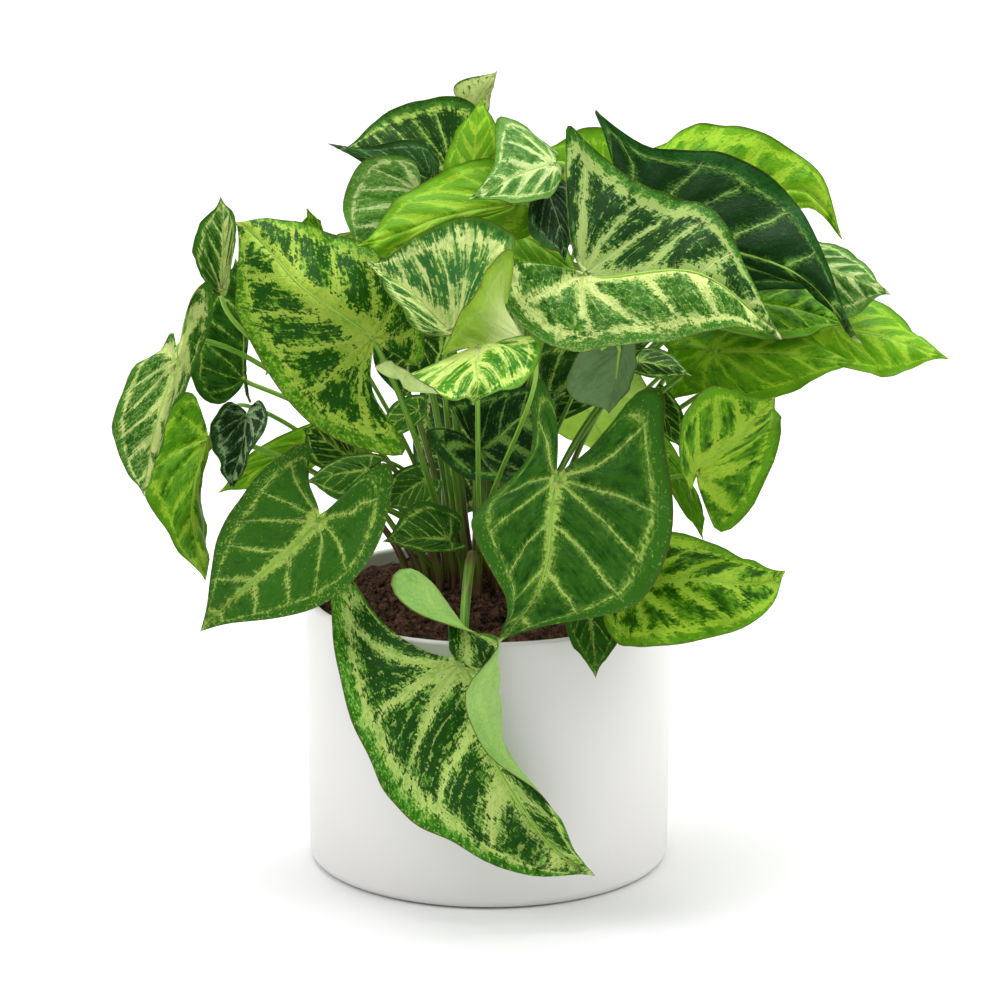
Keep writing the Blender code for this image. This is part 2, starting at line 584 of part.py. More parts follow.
def add_soil(parent, feet):
    """The soil: rings of points over the mound, a wall down inside the pot and a flat underside."""
    edge = pot_outer(SOIL_EDGE) - POT_WALL - GAP
    base = POT_FLOOR + GAP
    low = pot_outer(base) - POT_WALL - GAP
    form = bmesh.new()
    rings = []
    for k in range(1, SOIL_RINGS + 1):
        radius = edge * k / SOIL_RINGS
        turns = [2 * pi * (j + 0.5 * (k % 2)) / SOIL_SIDES for j in range(SOIL_SIDES)]
        flat = [(radius * cos(turn), radius * sin(turn)) for turn in turns]
        ring = [form.verts.new((x, y, SOIL_EDGE if k == SOIL_RINGS else soil_height(x, y))) for x, y in flat]
        rings.append(ring)
    rings.append([form.verts.new((low / edge * v.co.x, low / edge * v.co.y, base)) for v in rings[-1]])
    top = form.verts.new((0, 0, soil_height(0, 0)))
    for inner, outer in zip(rings, rings[1:]):
        for j in range(SOIL_SIDES):
            k = (j + 1) % SOIL_SIDES
            form.faces.new((inner[j], outer[j], outer[k], inner[k]))
    for j in range(SOIL_SIDES):
        form.faces.new((top, rings[0][j], rings[0][(j + 1) % SOIL_SIDES]))
    form.faces.new(rings[-1][::-1])
    bmesh.ops.triangulate(form, faces=form.faces[:])
    mesh = bpy.data.meshes.new("soil")
    form.to_mesh(mesh)
    form.free()
    soil = add_object("soil", mesh, parent, material("coir", (0.055, 0.032, 0.020), 0.95))
    hole = (STALK_BASE + GAP) / cos(pi / HOLE_SIDES)
    low, high = FOOT_DEPTH - GAP, COLLAR + 0.01
    cutters = bmesh.new()
    for foot in feet:
        made = bmesh.ops.create_cone(cutters, cap_ends=True, segments=HOLE_SIDES, radius1=hole, radius2=hole,
                                     depth=high - low)
        bmesh.ops.translate(cutters, verts=made["verts"], vec=(*foot, (low + high) / 2))
    holes = bpy.data.meshes.new("stalk_holes")
    cutters.to_mesh(holes)
    cutters.free()
    helper = add_object("stalk_holes", holes, parent)
    hide_helper(helper)
    cut = soil.modifiers.new("stalk_holes", "BOOLEAN")
    cut.operation = "DIFFERENCE"
    cut.object = helper


def stalk_mesh(name, points, origin):
    """A tapering tube with flat ends. Each ring's first corner is carried on from the ring before."""
    form = bmesh.new()
    across = np.array([1.0, 0.0, 0.0])
    rings = []
    for k, point in enumerate(points):
        along = unit(points[min(k + 1, len(points) - 1)] - points[max(k - 1, 0)])
        across = unit(across - across @ along * along)
        third = np.cross(along, across)
        radius = STALK_BASE + (STALK_TOP - STALK_BASE) * max(k - 1, 0) / (len(points) - 2)
        turns = [2 * pi * j / STALK_SIDES for j in range(STALK_SIDES)]
        ring = [point + radius * (cos(turn) * across + sin(turn) * third) - origin for turn in turns]
        rings.append([form.verts.new(corner) for corner in ring])
    for lower, upper in zip(rings, rings[1:]):
        for j in range(STALK_SIDES):
            k = (j + 1) % STALK_SIDES
            form.faces.new((lower[j], lower[k], upper[k], upper[j]))
    form.faces.new(rings[0][::-1])
    form.faces.new(rings[-1])
    mesh = bpy.data.meshes.new(name)
    form.to_mesh(mesh)
    form.free()
    return mesh


def add_leaf(name, leaf, parent, surface):
    """A blade thickened about its middle, joined to the stalk that carries it."""
    joint = leaf["marks"]["joint"]
    mesh = bpy.data.meshes.new(name)
    mesh.from_pydata((leaf["points"] - joint).tolist(), [], leaf["triangles"])
    blade = add_object(name, mesh, parent, surface)
    blade.location = joint
    solid = blade.modifiers.new("thickness", "SOLIDIFY")
    solid.thickness = BLADE_THICKNESS
    solid.offset = 0.0
    bottom = leaf["stalk"][0] * (1, 1, 0) + (0, 0, FOOT_DEPTH)
    points = [bottom, *leaf["stalk"], leaf["root"]]
    stalk = add_object(name + "_stalk", stalk_mesh(name + "_stalk", points, joint), parent)
    stalk.location = joint
    hide_helper(stalk)
    join = blade.modifiers.new("stalk", "BOOLEAN")
    join.operation = "UNION"
    join.object = stalk
    # The exact solver drops a blade whose lobes nearly touch
    join.solver = "MANIFOLD"


def clear_scene():
    for old in list(bpy.data.objects):
        bpy.data.objects.remove(old, do_unlink=True)


def main():
    clear_scene()
    plant = bpy.data.objects.new("syngonium", None)
    bpy.context.scene.collection.objects.link(plant)
    leaves = all_leaves()
    add_pot(plant)
    add_soil(plant, [leaf["stalk"][0][:2] for leaf in leaves.values()])
    green = material("leaf_green", (0.16, 0.33, 0.07), 0.45)
    for name, leaf in leaves.items():
        add_leaf(name, leaf, plant, green)


if __name__ == "__main__":
    main()
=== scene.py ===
"""The looks of a potted syngonium: fine variegated blades, stalks, coir and a glazed pot.

Lengths are in metres and +Z is up. The file is laid out as an add-on and runs as a script. From the
top it holds the leaves' landmarks and markings, the shapes of blades and the routes of stalks, the
materials, the pieces, and the settings, operators and panel.
"""

from functools import cache
from math import cos, exp, hypot, inf, pi, radians, sin
from types import SimpleNamespace

import bmesh
import bpy
import numpy as np
from bpy.props import EnumProperty, FloatProperty, IntProperty
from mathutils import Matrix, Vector, noise
from mathutils.bvhtree import BVHTree
from mathutils.kdtree import KDTree


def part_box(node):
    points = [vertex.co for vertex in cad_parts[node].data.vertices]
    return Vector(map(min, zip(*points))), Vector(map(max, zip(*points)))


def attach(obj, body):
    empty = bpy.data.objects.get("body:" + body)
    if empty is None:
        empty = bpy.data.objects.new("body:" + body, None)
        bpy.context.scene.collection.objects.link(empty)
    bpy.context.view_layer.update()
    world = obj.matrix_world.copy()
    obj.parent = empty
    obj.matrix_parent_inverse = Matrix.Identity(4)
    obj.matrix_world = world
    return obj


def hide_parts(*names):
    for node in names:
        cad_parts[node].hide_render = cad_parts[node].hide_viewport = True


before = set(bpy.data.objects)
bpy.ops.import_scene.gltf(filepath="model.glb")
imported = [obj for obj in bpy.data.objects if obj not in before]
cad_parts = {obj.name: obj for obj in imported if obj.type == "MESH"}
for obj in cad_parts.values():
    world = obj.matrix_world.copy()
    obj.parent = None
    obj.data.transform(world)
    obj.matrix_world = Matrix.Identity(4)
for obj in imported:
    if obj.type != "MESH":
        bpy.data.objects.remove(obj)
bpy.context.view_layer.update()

bl_info = {
    "name": "Potted Syngonium",
    "version": (1, 0, 0),
    "blender": (4, 5, 0),
    "location": "View3D > Sidebar > Syngonium",
    "description": "Builds the blades, stalks, coir and glazed pot of a potted syngonium",
    "category": "Add Mesh",
}

LEAF_GROUPS = ("right", "left", "top", "back")
MM = 0.001
BODY = "root"
POT_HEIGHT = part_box("pot")[1].z
SOIL_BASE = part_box("soil")[0].z

# Pot and soil, as the solids have them. The soil is a mound with low waves along X and along Y
RIM_RADIUS = 0.0750
BASE_RADIUS = 0.0734
POT_WALL = 0.0035
SOIL_EDGE = 0.106
SOIL_CROWN = 0.1145
SOIL_LUMP = 0.0009
LUMPS_ALONG = (190, 1.3)
LUMPS_ACROSS = (230, 0.4)
MOUND_RADIUS = 0.038
CROWN = np.array([-0.003, 0.020])

# The finer pot and coir bed
INNER_CORNER = 0.004
WALL_ROWS = 12
CORNER_STEPS = 6
FOOT_STEPS = 10
MERGE_DISTANCE = 1e-6
BED_GAP = 0.0004
BED_INSET = 0.006
BED_GRAIN = 130
BED_FRACTAL = (0.7, 2.1, 4)
BED_SAG = 0.0012

# What is strewn over the bed
FULL_TURN = 6.3
CHIP_RADIUS = 0.0015
CHIP_SCALE = (1.0, 0.75, 0.5)
FIBRE_RING = {"Resolution": 3, "Radius": 0.00016}
FIBRE_BOW = {"Resolution": 6, "Start": (-0.0045, 0.0, 0.0), "Middle": (0.0, 0.003, 0.0022),
             "End": (0.0045, 0.0, 0.0)}

# Stalks, as the solids have them
FOOT_DEPTH = 0.104
COLLAR = 0.117
FOOT_SPACING = 0.0057
FOOT_ROUNDS = 200
FOOT_EASE = 0.6
CROWN_SPREAD = 0.0225
CROWN_STRETCH = 1.2
LEAN_LEVEL = 0.085
LEAST_RISE = 0.025
STALK_LEAN = 0.15
STALK_RINGS = 6
STALK_CLEARANCE = 0.0037
STALK_SPACING = 0.0043
STALK_SAMPLES = 60
OWN_BLADE_SHARE = 0.8
BOW_REACHES = (0.005, 0.010, 0.016, 0.024, 0.034, 0.046)
BOW_TURNS = 8
UPPER_BOW = 0.6
STALK_RISES = (0.42, 0.60, 0.25)
STALK_ARRIVALS = (0.15, 0.05)

# Finer stalks. Each runs on under its blade as a raised midrib, through RIDGE_SHARES of its length
RISE_POINTS = 26
RIDGE_SHARES = np.linspace(0.02, 0.9, 16)
RIDGE_STEPS = ((0.01, 0.0), (0.0, 0.02))
RIDGE_START = 0.95
RIDGE_LOSS = 0.85
RIDGE_TAPER = 0.6
RIDGE_SINK = 0.2
FOOT_FLARE = 0.5
LEAST_STALK_SIZE = 0.55
FULL_STALK_LENGTH = 0.16
STALK_SIZES = {"left_15": 1.6}

# Blades, as the solids have them
ROWS_ALONG = 8
SMALL_LEAF = 0.045
SMALL_ROWS_ALONG = 6
ROWS_ACROSS = 2
RIB_SPREAD = 1.5
CREASE = 0.04
STIFFNESS = 0.002

# How far the places that weren't read lie below a flat blade, as shares of its length
GUESSED_DROPS = {"rib": -0.06, "right": 0.03, "left": 0.03, "right_lobe": 0.048, "left_lobe": 0.048}

# Finer blades
ROW_LIMITS = (28, 76)
CROSS_SHARE = 0.42
MARGIN_THINNING = 0.5
GROOVE_DEPTH = 0.5
GROOVE_WIDTH = 0.018
MARGIN_WAVES = 4.5
WAVE_SHIFT = 2.4
RIPPLE_SHIFT = 2.1
FADE_RATE = 8
SINUS_TURN = 0.93
AT_JOINT = 1e-6

# The photograph's camera looks along +Y and down. The pot's axis stands at VIEW_CENTRE's column
VIEW_TILT = radians(15.7)
VIEW_DISTANCE = 2.5
VIEW_HEIGHT = 0.1501
VIEW_FOCAL = 6164.0
VIEW_CENTRE = (488.5, 500.0)
PICTURE_WIDTH = 1000
SENSOR_WIDTH = 36.0

# Lamps of the studio: the size, the place, and the point that each faces
PLANT_MIDDLE = (0.0, 0.0, 0.16)
LAMPS = {
    "key": ((1.2, 1.2), (-1.5, -0.5, 1.5), PLANT_MIDDLE),
    "fill": ((1.2, 1.2), (1.5, -0.5, 1.5), PLANT_MIDDLE),
    "top": ((2.0, 2.0), (0.0, 0.5, 2.2), PLANT_MIDDLE),
    "backdrop": ((3.0, 1.0), (0.0, 2.2, 2.0), (0.0, 2.4, 0.0)),
}
FLOOR_SIDES = 96
FLOOR_DROP = 0.0002
FLOOR_TONES = ("#e4e4e4", "#e8e8e8")

# Colours of the stalks, the glaze, the midrib's core and the dry rim of a blade
STALK_GREENS = ("#4c7f14", "#86b53c")
STALK_SHEATHS = ("#4a3524", "#94795a")
STALK_BLOTCH = "#6b4a3a"
STALK_TIP = "#9cc850"
GLAZE = ("#dbdad8", "#e2e0de")
RIB_CORE = "#6d6a2a"
DRY_RIM = "#6b5a2c"

# Noises of a blade's markings: two directions, each with its scale, then the depth in the noise
# and its detail. The seed is one for the whole blade, and the layer lies HALF_SEED off on its right
HALF_SEED = 9.0
BLADE_NOISES = {
    "wander": ("along", 5.0, "across", 5.0, "seed", 2.0),
    "patches": ("along", 15.0, "across", 15.0, "seed", 3.0),
    "mottle": ("along", 42.0, "across", 42.0, "layer", 3.0),
    "grit": ("along", 95.0, "across", 95.0, "seed", 3.0),
    "barbs": ("lane", 7.0, "run", 56.0, "layer", 3.0),
    "streaks": ("lane", 16.0, "run", 5.0, "layer", 3.0),
    "rib_barbs": ("along", 90.0, "across", 22.0, "seed", 3.0),
}
MINOR_NOISES = {"patches": 1.1, "mottle": 1.1, "barbs": 0.9, "grit": 0.9, "streaks": 0.9}
BLADE_RELIEF = {"lines": -0.6, "net": -0.10, "streaks": 0.06, "mottle": 0.03, "patches": 0.10}
MARKED_LENGTH = 0.1
NET_CELLS = 27.0
PALETTE_PARTS = ("Dark", "Green", "Pale", "Vein", "Under")

# Places on a flat arrowhead blade one unit long, from the stalk's joint to the tip. The second
# number is across, positive on the right of someone who looks down on it with the tip ahead
PLACES = {
    "joint": (0.0, 0.0), "rib": (0.5, 0.0), "rib_far": (0.78, 0.0), "tip": (1.0, 0.0),
    "right": (0.1, 0.5), "left": (0.1, -0.5), "right_half": (0.1, 0.25), "left_half": (0.1, -0.25),
    "right_mid": (0.33, 0.44), "right_far": (0.55, 0.31), "left_far": (0.55, -0.31),
    "left_mid": (0.33, -0.44), "left_half_far": (0.33, -0.22), "left_side": (-0.03, -0.51),
    "left_hook": (-0.44, -0.24), "left_sinus": (-0.2, -0.085), "left_shoulder": (-0.36, -0.44),
    "right_end": (0.82, 0.105), "left_end": (0.82, -0.105),
    "right_back": (-0.2, 0.49), "left_back": (-0.2, -0.49),
    "right_lobe": (-0.45, 0.36), "left_lobe": (-0.45, -0.36),
    "right_notch": (-0.30, 0.14), "left_notch": (-0.30, -0.14),
}

# Half of the flat blade's margin, from the tip round the lobe to the joint
HALF_MARGIN = np.array([
    (1.0, 0.0), (0.93, 0.035), (0.82, 0.105), (0.65, 0.24), (0.45, 0.385), (0.22, 0.485),
    (0.02, 0.52), (-0.16, 0.50), (-0.32, 0.45), (-0.43, 0.385), (-0.47, 0.31), (-0.44, 0.24),
    (-0.33, 0.16), (-0.2, 0.085), (-0.08, 0.03), (0.0, 0.0),
])

# Veins on a flat blade. Lateral veins leave the midrib a lane apart, and a fan leaves the joint
LANE_LENGTH = 0.27
LANE_ANGLE = radians(41)
VEIN_SLANT = 0.68
VEIN_BOW = 0.7
JOINT_LANE = -1.5
LOOP_SHARE = 0.82

# Landmarks of each visible leaf: pixel column, pixel row, and the place along Y in millimetres
SEEN_LEAVES = {
    "right_01": dict(
        joint=(585, 275, -52), tip=(783, 339, -88), rib=(692, 271, -78), right=(602, 345, -84),
        left=(655, 193, -40), right_lobe=(497, 287, -62), left_lobe=(571, 126, -8),
        left_far=(716, 214, -58), right_far=(690, 334, -94), left_back=(614, 165, -22),
        left_shoulder=(583, 138, -11), left_hook=(567, 141, -12), left_notch=(566, 190, -26),
        right_back=(548, 345, -78), right_notch=(535, 263, -58)),
    "right_02": dict(
        joint=(650, 240, -8), tip=(862, 346, -52), rib=(775, 264, -36), left=(712, 152, 0),
        left_lobe=(597, 110, 16), left_shoulder=(613, 124, 14), left_hook=(601, 124, 14),
        left_back=(650, 148, 10), left_far=(800, 208, -20), right_far=(803, 287, -27),
        right_end=(838, 315, -42), right=(690, 300, -24), right_lobe=(600, 290, -5)),
    "right_03": dict(
        joint=(655, 205, 28), tip=(843, 240, 14), rib=(760, 196, 22), left=(705, 126, 46),
        left_far=(774, 140, 32), left_end=(826, 182, 20), right_end=(812, 207, 14),
        right=(690, 260, 10), left_lobe=(640, 160, 50)),
    "right_04": dict(
        joint=(800, 262, 2), tip=(891, 294, -14), left=(836, 246, 12), right=(830, 318, -12)),
    "right_05": dict(
        joint=(835, 328, -6), tip=(949, 358, -18), left=(872, 298, 10), right=(868, 372, -22),
        left_far=(912, 330, -2), right_far=(898, 374, -24)),
    "right_06": dict(
        joint=(716, 352, -14), tip=(858, 364, -34), left=(748, 318, -4), right=(752, 402, -30),
        right_lobe=(690, 388, -14), left_lobe=(668, 342, -2), right_far=(806, 384, -36)),
    "right_07": dict(
        joint=(722, 300, -8), tip=(849, 325, -24), left=(764, 270, 2), right=(758, 337, -26),
        left_far=(808, 282, -8), right_far=(802, 336, -30)),
    "right_08": dict(
        joint=(697, 473, -46), tip=(776, 397, -38), right=(776, 448, -34),
        right_lobe=(729, 530, -46), left=(681, 432, -56), left_lobe=(689, 492, -52),
        left_back=(680, 462, -56), left_far=(714, 386, -48), right_far=(779, 415, -34),
        right_back=(757, 500, -38)),
    "right_09": dict(
        joint=(668, 456, -24), tip=(704, 541, -44), right=(672, 492, -34), left=(698, 496, -34)),
    "right_10": dict(
        joint=(640, 583, -68), tip=(786, 570, -62), right=(650, 645, -88), left=(658, 530, -54),
        right_lobe=(606, 628, -84), left_lobe=(606, 548, -52), rib=(712, 580, -76),
        right_far=(744, 627, -84), left_far=(738, 555, -60), right_end=(776, 600, -74)),
    "right_11": dict(
        joint=(588, 598, -64), tip=(596, 678, -86), right=(566, 624, -76), left=(624, 618, -74)),
    "right_12": dict(
        joint=(557, 480, -64), tip=(498, 643, -94), rib=(547, 562, -88), right=(481, 505, -72),
        right_mid=(474, 534, -80), left=(671, 515, -76), right_lobe=(532, 384, -34),
        left_lobe=(660, 388, -34), right_far=(503, 588, -90), left_far=(628, 608, -94),
        right_back=(530, 458, -54), left_back=(664, 440, -52), right_notch=(557, 420, -44),
        left_notch=(600, 440, -46)),
    "right_13": dict(
        joint=(478, 449, -12), tip=(566, 392, -26), left=(478, 392, -8), right=(500, 481, -30),
        right_lobe=(426, 438, -18), right_back=(459, 474, -28), right_notch=(455, 430, -14),
        left_lobe=(450, 400, -2), right_far=(545, 462, -32)),
    "right_14": dict(
        joint=(548, 398, -6), tip=(652, 340, -34), left=(540, 346, 2), right=(600, 400, -24)),
    "right_15": dict(
        joint=(620, 352, -38), tip=(609, 414, -46), left=(568, 386, -38), right=(634, 374, -46)),
    "right_16": dict(
        joint=(640, 362, -22), tip=(692, 376, -34), left=(662, 350, -16), right=(655, 378, -30)),
    "right_17": dict(
        joint=(716, 336, 16), tip=(664, 404, 10), left=(722, 376, 12), right=(676, 334, 18)),
    "right_18": dict(
        joint=(658, 402, 4), tip=(681, 448, -4), left=(682, 412, 0), right=(656, 428, -2)),
    "left_01": dict(
        joint=(372, 338, -50), tip=(236, 222, -42), rib=(300, 285, -60), right=(407, 268, -30),
        left=(293, 403, -64), right_lobe=(425, 352, -38), left_lobe=(402, 455, -58),
        right_far=(328, 233, -28), right_end=(268, 217, -36), left_far=(238, 305, -54),
        left_notch=(374, 395, -54), left_back=(340, 441, -62)),
    "left_02": dict(
        joint=(452, 332, -64), tip=(368, 262, -72), right=(468, 219, -36),
        right_lobe=(515, 247, -46), right_back=(505, 229, -38), right_far=(408, 243, -62),
        left=(409, 318, -88), left_lobe=(434, 335, -78), left_far=(386, 287, -86)),
    "left_03": dict(
        joint=(528, 344, -72), tip=(441, 354, -86), left=(480, 289, -84), left_far=(458, 320, -86),
        left_lobe=(514, 251, -70), left_notch=(506, 316, -66), left_sinus=(516, 325, -68),
        right=(500, 344, -60), right_lobe=(534, 340, -60)),
    "left_04": dict(
        joint=(480, 347, -84), tip=(474, 405, -118), rib=(478, 374, -110), left=(528, 378, -100),
        left_lobe=(532, 335, -86), left_back=(541, 352, -92), right_half=(414, 393, -108),
        right=(410, 372, -116), right_back=(388, 361, -106), right_lobe=(377, 367, -98),
        right_notch=(408, 376, -88), right_mid=(434, 390, -121), right_far=(455, 400, -122)),
    "left_05": dict(
        joint=(326, 262, 12), tip=(307, 208, 6), right=(325, 235, 14), left=(300, 240, 0)),
    "left_06": dict(
        joint=(318, 520, -62), tip=(200, 632, -66), right=(250, 488, -66),
        right_lobe=(304, 443, -50), right_far=(216, 547, -70), left=(352, 580, -74),
        left_lobe=(391, 468, -44), left_back=(384, 530, -58), left_far=(285, 616, -76),
        right_notch=(308, 478, -54), left_notch=(346, 492, -52)),
    "left_07": dict(
        joint=(176, 362, -52), tip=(144, 497, -58), rib=(155, 430, -66), rib_far=(148, 468, -64),
        right=(122, 396, -58), right_mid=(114, 420, -60), right_far=(116, 444, -62),
        right_end=(132, 478, -60), right_lobe=(162, 352, -46), right_back=(138, 363, -52),
        left=(190, 377, -44), left_far=(166, 425, -54), left_lobe=(212, 284, -34),
        left_back=(210, 328, -38), left_notch=(189, 301, -40)),
    "left_08": dict(
        joint=(222, 290, -26), tip=(221, 196, -14), left=(194, 252, -30), left_far=(202, 222, -24),
        right=(235, 240, -22), right_far=(234, 214, -18), right_lobe=(229, 284, -22),
        left_lobe=(206, 282, -30)),
    "left_09": dict(
        joint=(207, 440, -18), tip=(206, 581, -34), rib=(191, 512, -40), rib_far=(197, 548, -40),
        right=(142, 478, -32), right_far=(168, 530, -42), right_lobe=(181, 394, -10),
        right_end=(186, 560, -38), left=(200, 480, -22), left_far=(204, 522, -30),
        left_end=(210, 558, -32), left_lobe=(213, 434, -10)),
    "left_10": dict(
        joint=(243, 378, 0), tip=(236, 258, 8), left=(192, 362, -10), left_lobe=(208, 402, -8),
        left_far=(200, 310, -2), right=(242, 350, 6), right_far=(246, 306, 8),
        right_lobe=(249, 400, 2)),
    "left_11": dict(
        joint=(246, 416, -12), tip=(232, 490, -34), left=(266, 426, -16), left_far=(247, 458, -30),
        left_end=(242, 476, -32), right=(211, 438, -32), right_far=(220, 460, -34),
        right_end=(223, 475, -34), left_lobe=(262, 402, -8), right_lobe=(224, 404, -22)),
    "left_12": dict(
        joint=(304, 444, 12), tip=(218, 493, 4), right=(262, 446, 10), left=(290, 480, 4)),
    "left_13": dict(
        joint=(350, 458, 6), tip=(302, 428, 0), right=(332, 420, 6), left=(312, 462, -4)),
    "left_14": dict(
        joint=(366, 470, -8), tip=(306, 482, -14), right=(345, 456, -4), left=(348, 500, -18)),
    "left_15": dict(
        joint=(463, 662, -90), tip=(595, 876, -98), rib=(497, 768, -104), right=(364, 745, -78),
        right_lobe=(332, 574, -58), right_back=(336, 650, -68), right_far=(436, 834, -92),
        right_end=(535, 876, -98), right_notch=(385, 626, -72), left_far=(553, 808, -99),
        left=(468, 688, -115), left_half=(504, 694, -99), left_mid=(492, 756, -113),
        left_half_far=(508, 748, -103), left_side=(497, 643, -106), left_back=(468, 629, -104),
        left_lobe=(391, 592, -78), left_hook=(414, 568, -70), left_notch=(446, 603, -82),
        left_sinus=(449, 642, -97)),
    "left_16": dict(
        joint=(447, 540, -30), tip=(383, 541, -46), right=(420, 503, -28), left=(425, 552, -42)),
    "left_17": dict(
        joint=(417, 411, 8), tip=(380, 432, 0), right=(396, 402, 8), left=(402, 434, 0)),
    "left_18": dict(
        joint=(424, 480, 8), tip=(383, 508, -4), right=(394, 474, 4), left=(420, 510, -4)),
    "left_19": dict(
        joint=(414, 334, -22), tip=(400, 402, -26), right=(374, 352, -28), left=(444, 360, -22)),
    "top_01": dict(
        joint=(448, 168, 24), tip=(341, 150, 16), right=(431, 100, 38), right_far=(381, 117, 30),
        right_lobe=(478, 110, 34), left=(430, 205, 18), left_lobe=(470, 200, 20)),
    "top_02": dict(
        joint=(474, 106, 46), tip=(497, 71, 46), right=(490, 98, 46), left=(455, 86, 50),
        right_lobe=(488, 112, 44), left_lobe=(462, 104, 48)),
    "top_03": dict(
        joint=(472, 178, 2), tip=(482, 97, 22), right=(500, 150, 8), left=(446, 160, 10)),
    "top_04": dict(
        joint=(553, 165, -14), tip=(469, 199, -32), right=(501, 117, 4), right_far=(496, 160, -18),
        right_lobe=(552, 148, 0), right_back=(532, 132, 4), left=(548, 197, -30),
        left_far=(510, 202, -34), left_lobe=(563, 176, -18)),
    "top_05": dict(
        joint=(515, 205, -14), tip=(357, 246, -40), right=(447, 172, -10), left=(430, 230, -34),
        right_lobe=(500, 163, -2), left_lobe=(526, 238, -22), right_far=(395, 203, -24),
        left_far=(385, 258, -40)),
    "top_06": dict(
        joint=(418, 192, -8), tip=(355, 256, -22), right=(360, 166, -8), right_far=(344, 212, -14),
        right_lobe=(402, 156, -6), left=(420, 252, -18), left_lobe=(445, 205, -8)),
    "top_07": dict(
        joint=(430, 180, 6), tip=(328, 143, -8), right=(418, 142, 8), right_mid=(402, 140, 2),
        right_far=(370, 147, -2), left_far=(360, 160, -6), left=(405, 187, 2),
        left_lobe=(430, 197, 4), right_lobe=(437, 160, 12)),
    "top_08": dict(
        joint=(590, 205, 50), tip=(541, 147, 38), right=(603, 130, 62), right_lobe=(645, 165, 62),
        left=(540, 215, 34), left_lobe=(590, 250, 42)),
    "top_09": dict(
        joint=(548, 190, -10), tip=(566, 262, -40), right=(531, 232, -32), left=(572, 214, -16),
        right_lobe=(532, 200, -20), left_lobe=(566, 182, -6)),
    "top_10": dict(
        joint=(505, 228, 8), tip=(583, 279, -20), left=(545, 222, 8), right=(515, 262, -8)),
}

# Landmarks of the leaves at the back, as X, Y and Z in millimetres, and the way each one faces
BACK_LEAVES = {
    "back_01": dict(joint=(60, 88, 240), tip=(92, 128, 196), face=(0.3, 0.7, 0.6), width=0.8),
    "back_02": dict(joint=(-18, 70, 252), tip=(-42, 122, 208), face=(-0.2, 0.8, 0.6)),
    "back_03": dict(joint=(-54, 62, 212), tip=(-94, 96, 178), face=(-0.5, 0.6, 0.6), width=0.85),
    "back_04": dict(joint=(84, 58, 206), tip=(126, 88, 172), face=(0.5, 0.5, 0.7), width=0.9),
    "back_05": dict(joint=(12, 72, 218), tip=(14, 124, 170), face=(0, 0.8, 0.5), width=0.9),
    "back_06": dict(joint=(34, 60, 182), tip=(52, 108, 136), face=(0.2, 0.8, 0.5)),
    "back_07": dict(joint=(-4, 62, 274), tip=(-10, 110, 242), face=(0, 0.6, 0.8), width=0.85),
    "back_08": dict(joint=(-62, 48, 248), tip=(-92, 88, 226), face=(-0.4, 0.5, 0.8), width=0.85),
    "back_09": dict(joint=(112, 58, 236), tip=(146, 84, 206), face=(0.4, 0.6, 0.7), width=0.8),
    "back_10": dict(joint=(-6, 58, 164), tip=(-26, 74, 118), face=(0, -0.7, 0.7), width=1.1),
}

# Colours of a blade: darkest patches, green, pale bands, finest veins, underside
PALETTES = {
    "forest": ("#154006", "#38701a", "#b5d45f", "#e3efa0", "#8db262"),
    "cream": ("#123c08", "#3f7d1c", "#d6e68a", "#f6f7c8", "#a5bf70"),
    "lime": ("#1a4c00", "#5d9a12", "#a6cc38", "#c6de62", "#9cc24e"),
    "butter": ("#33702e", "#6aa236", "#dfeb98", "#f5fac0", "#b4d84c"),
    "spring": ("#236c10", "#5f9c20", "#cfe27a", "#eef5a8", "#d4e59a"),
    "glow": ("#3a7c0a", "#6ba614", "#a4d032", "#c6e464", "#a8cf40"),
    "fresh": ("#1c5208", "#589618", "#b0cc4c", "#d2e080", "#9cc24e"),
    "ink": ("#0e340a", "#20581a", "#86b04a", "#c0d684", "#5f9448"),
    "moss": ("#1a4c06", "#459414", "#c6e078", "#ecf5ae", "#9cc76c"),
    "mist": ("#245c14", "#578f2c", "#cde094", "#f0f6c6", "#b8d49c"),
    "teal": ("#10300a", "#2a5c20", "#94ae80", "#bccba6", "#7a9f68"),
}

# A plain blade's marking. The half widths of the pale bands on lateral veins (right and left half),
# midrib, margin loop and minor veins are shares of the blade's length
PLAIN_BAND = 0.022
PLAIN_MARKING = dict(
    right=PLAIN_BAND, left=PLAIN_BAND, rib=0.036, loop=0.009, minor=0.004, fill=0.5, patch=0.016,
    barb=0.016, streak=0.016, mottle=0.0, speckle=0.7, net=0.0, dull=0.0, light=0.0, wide=0.0,
    line=1.0, bloom=0.15)


def marked(palette, both=PLAIN_BAND, **others):
    """A blade's palette, and its marking with what differs from a plain one."""
    return palette, PLAIN_MARKING | {"right": both, "left": both} | others


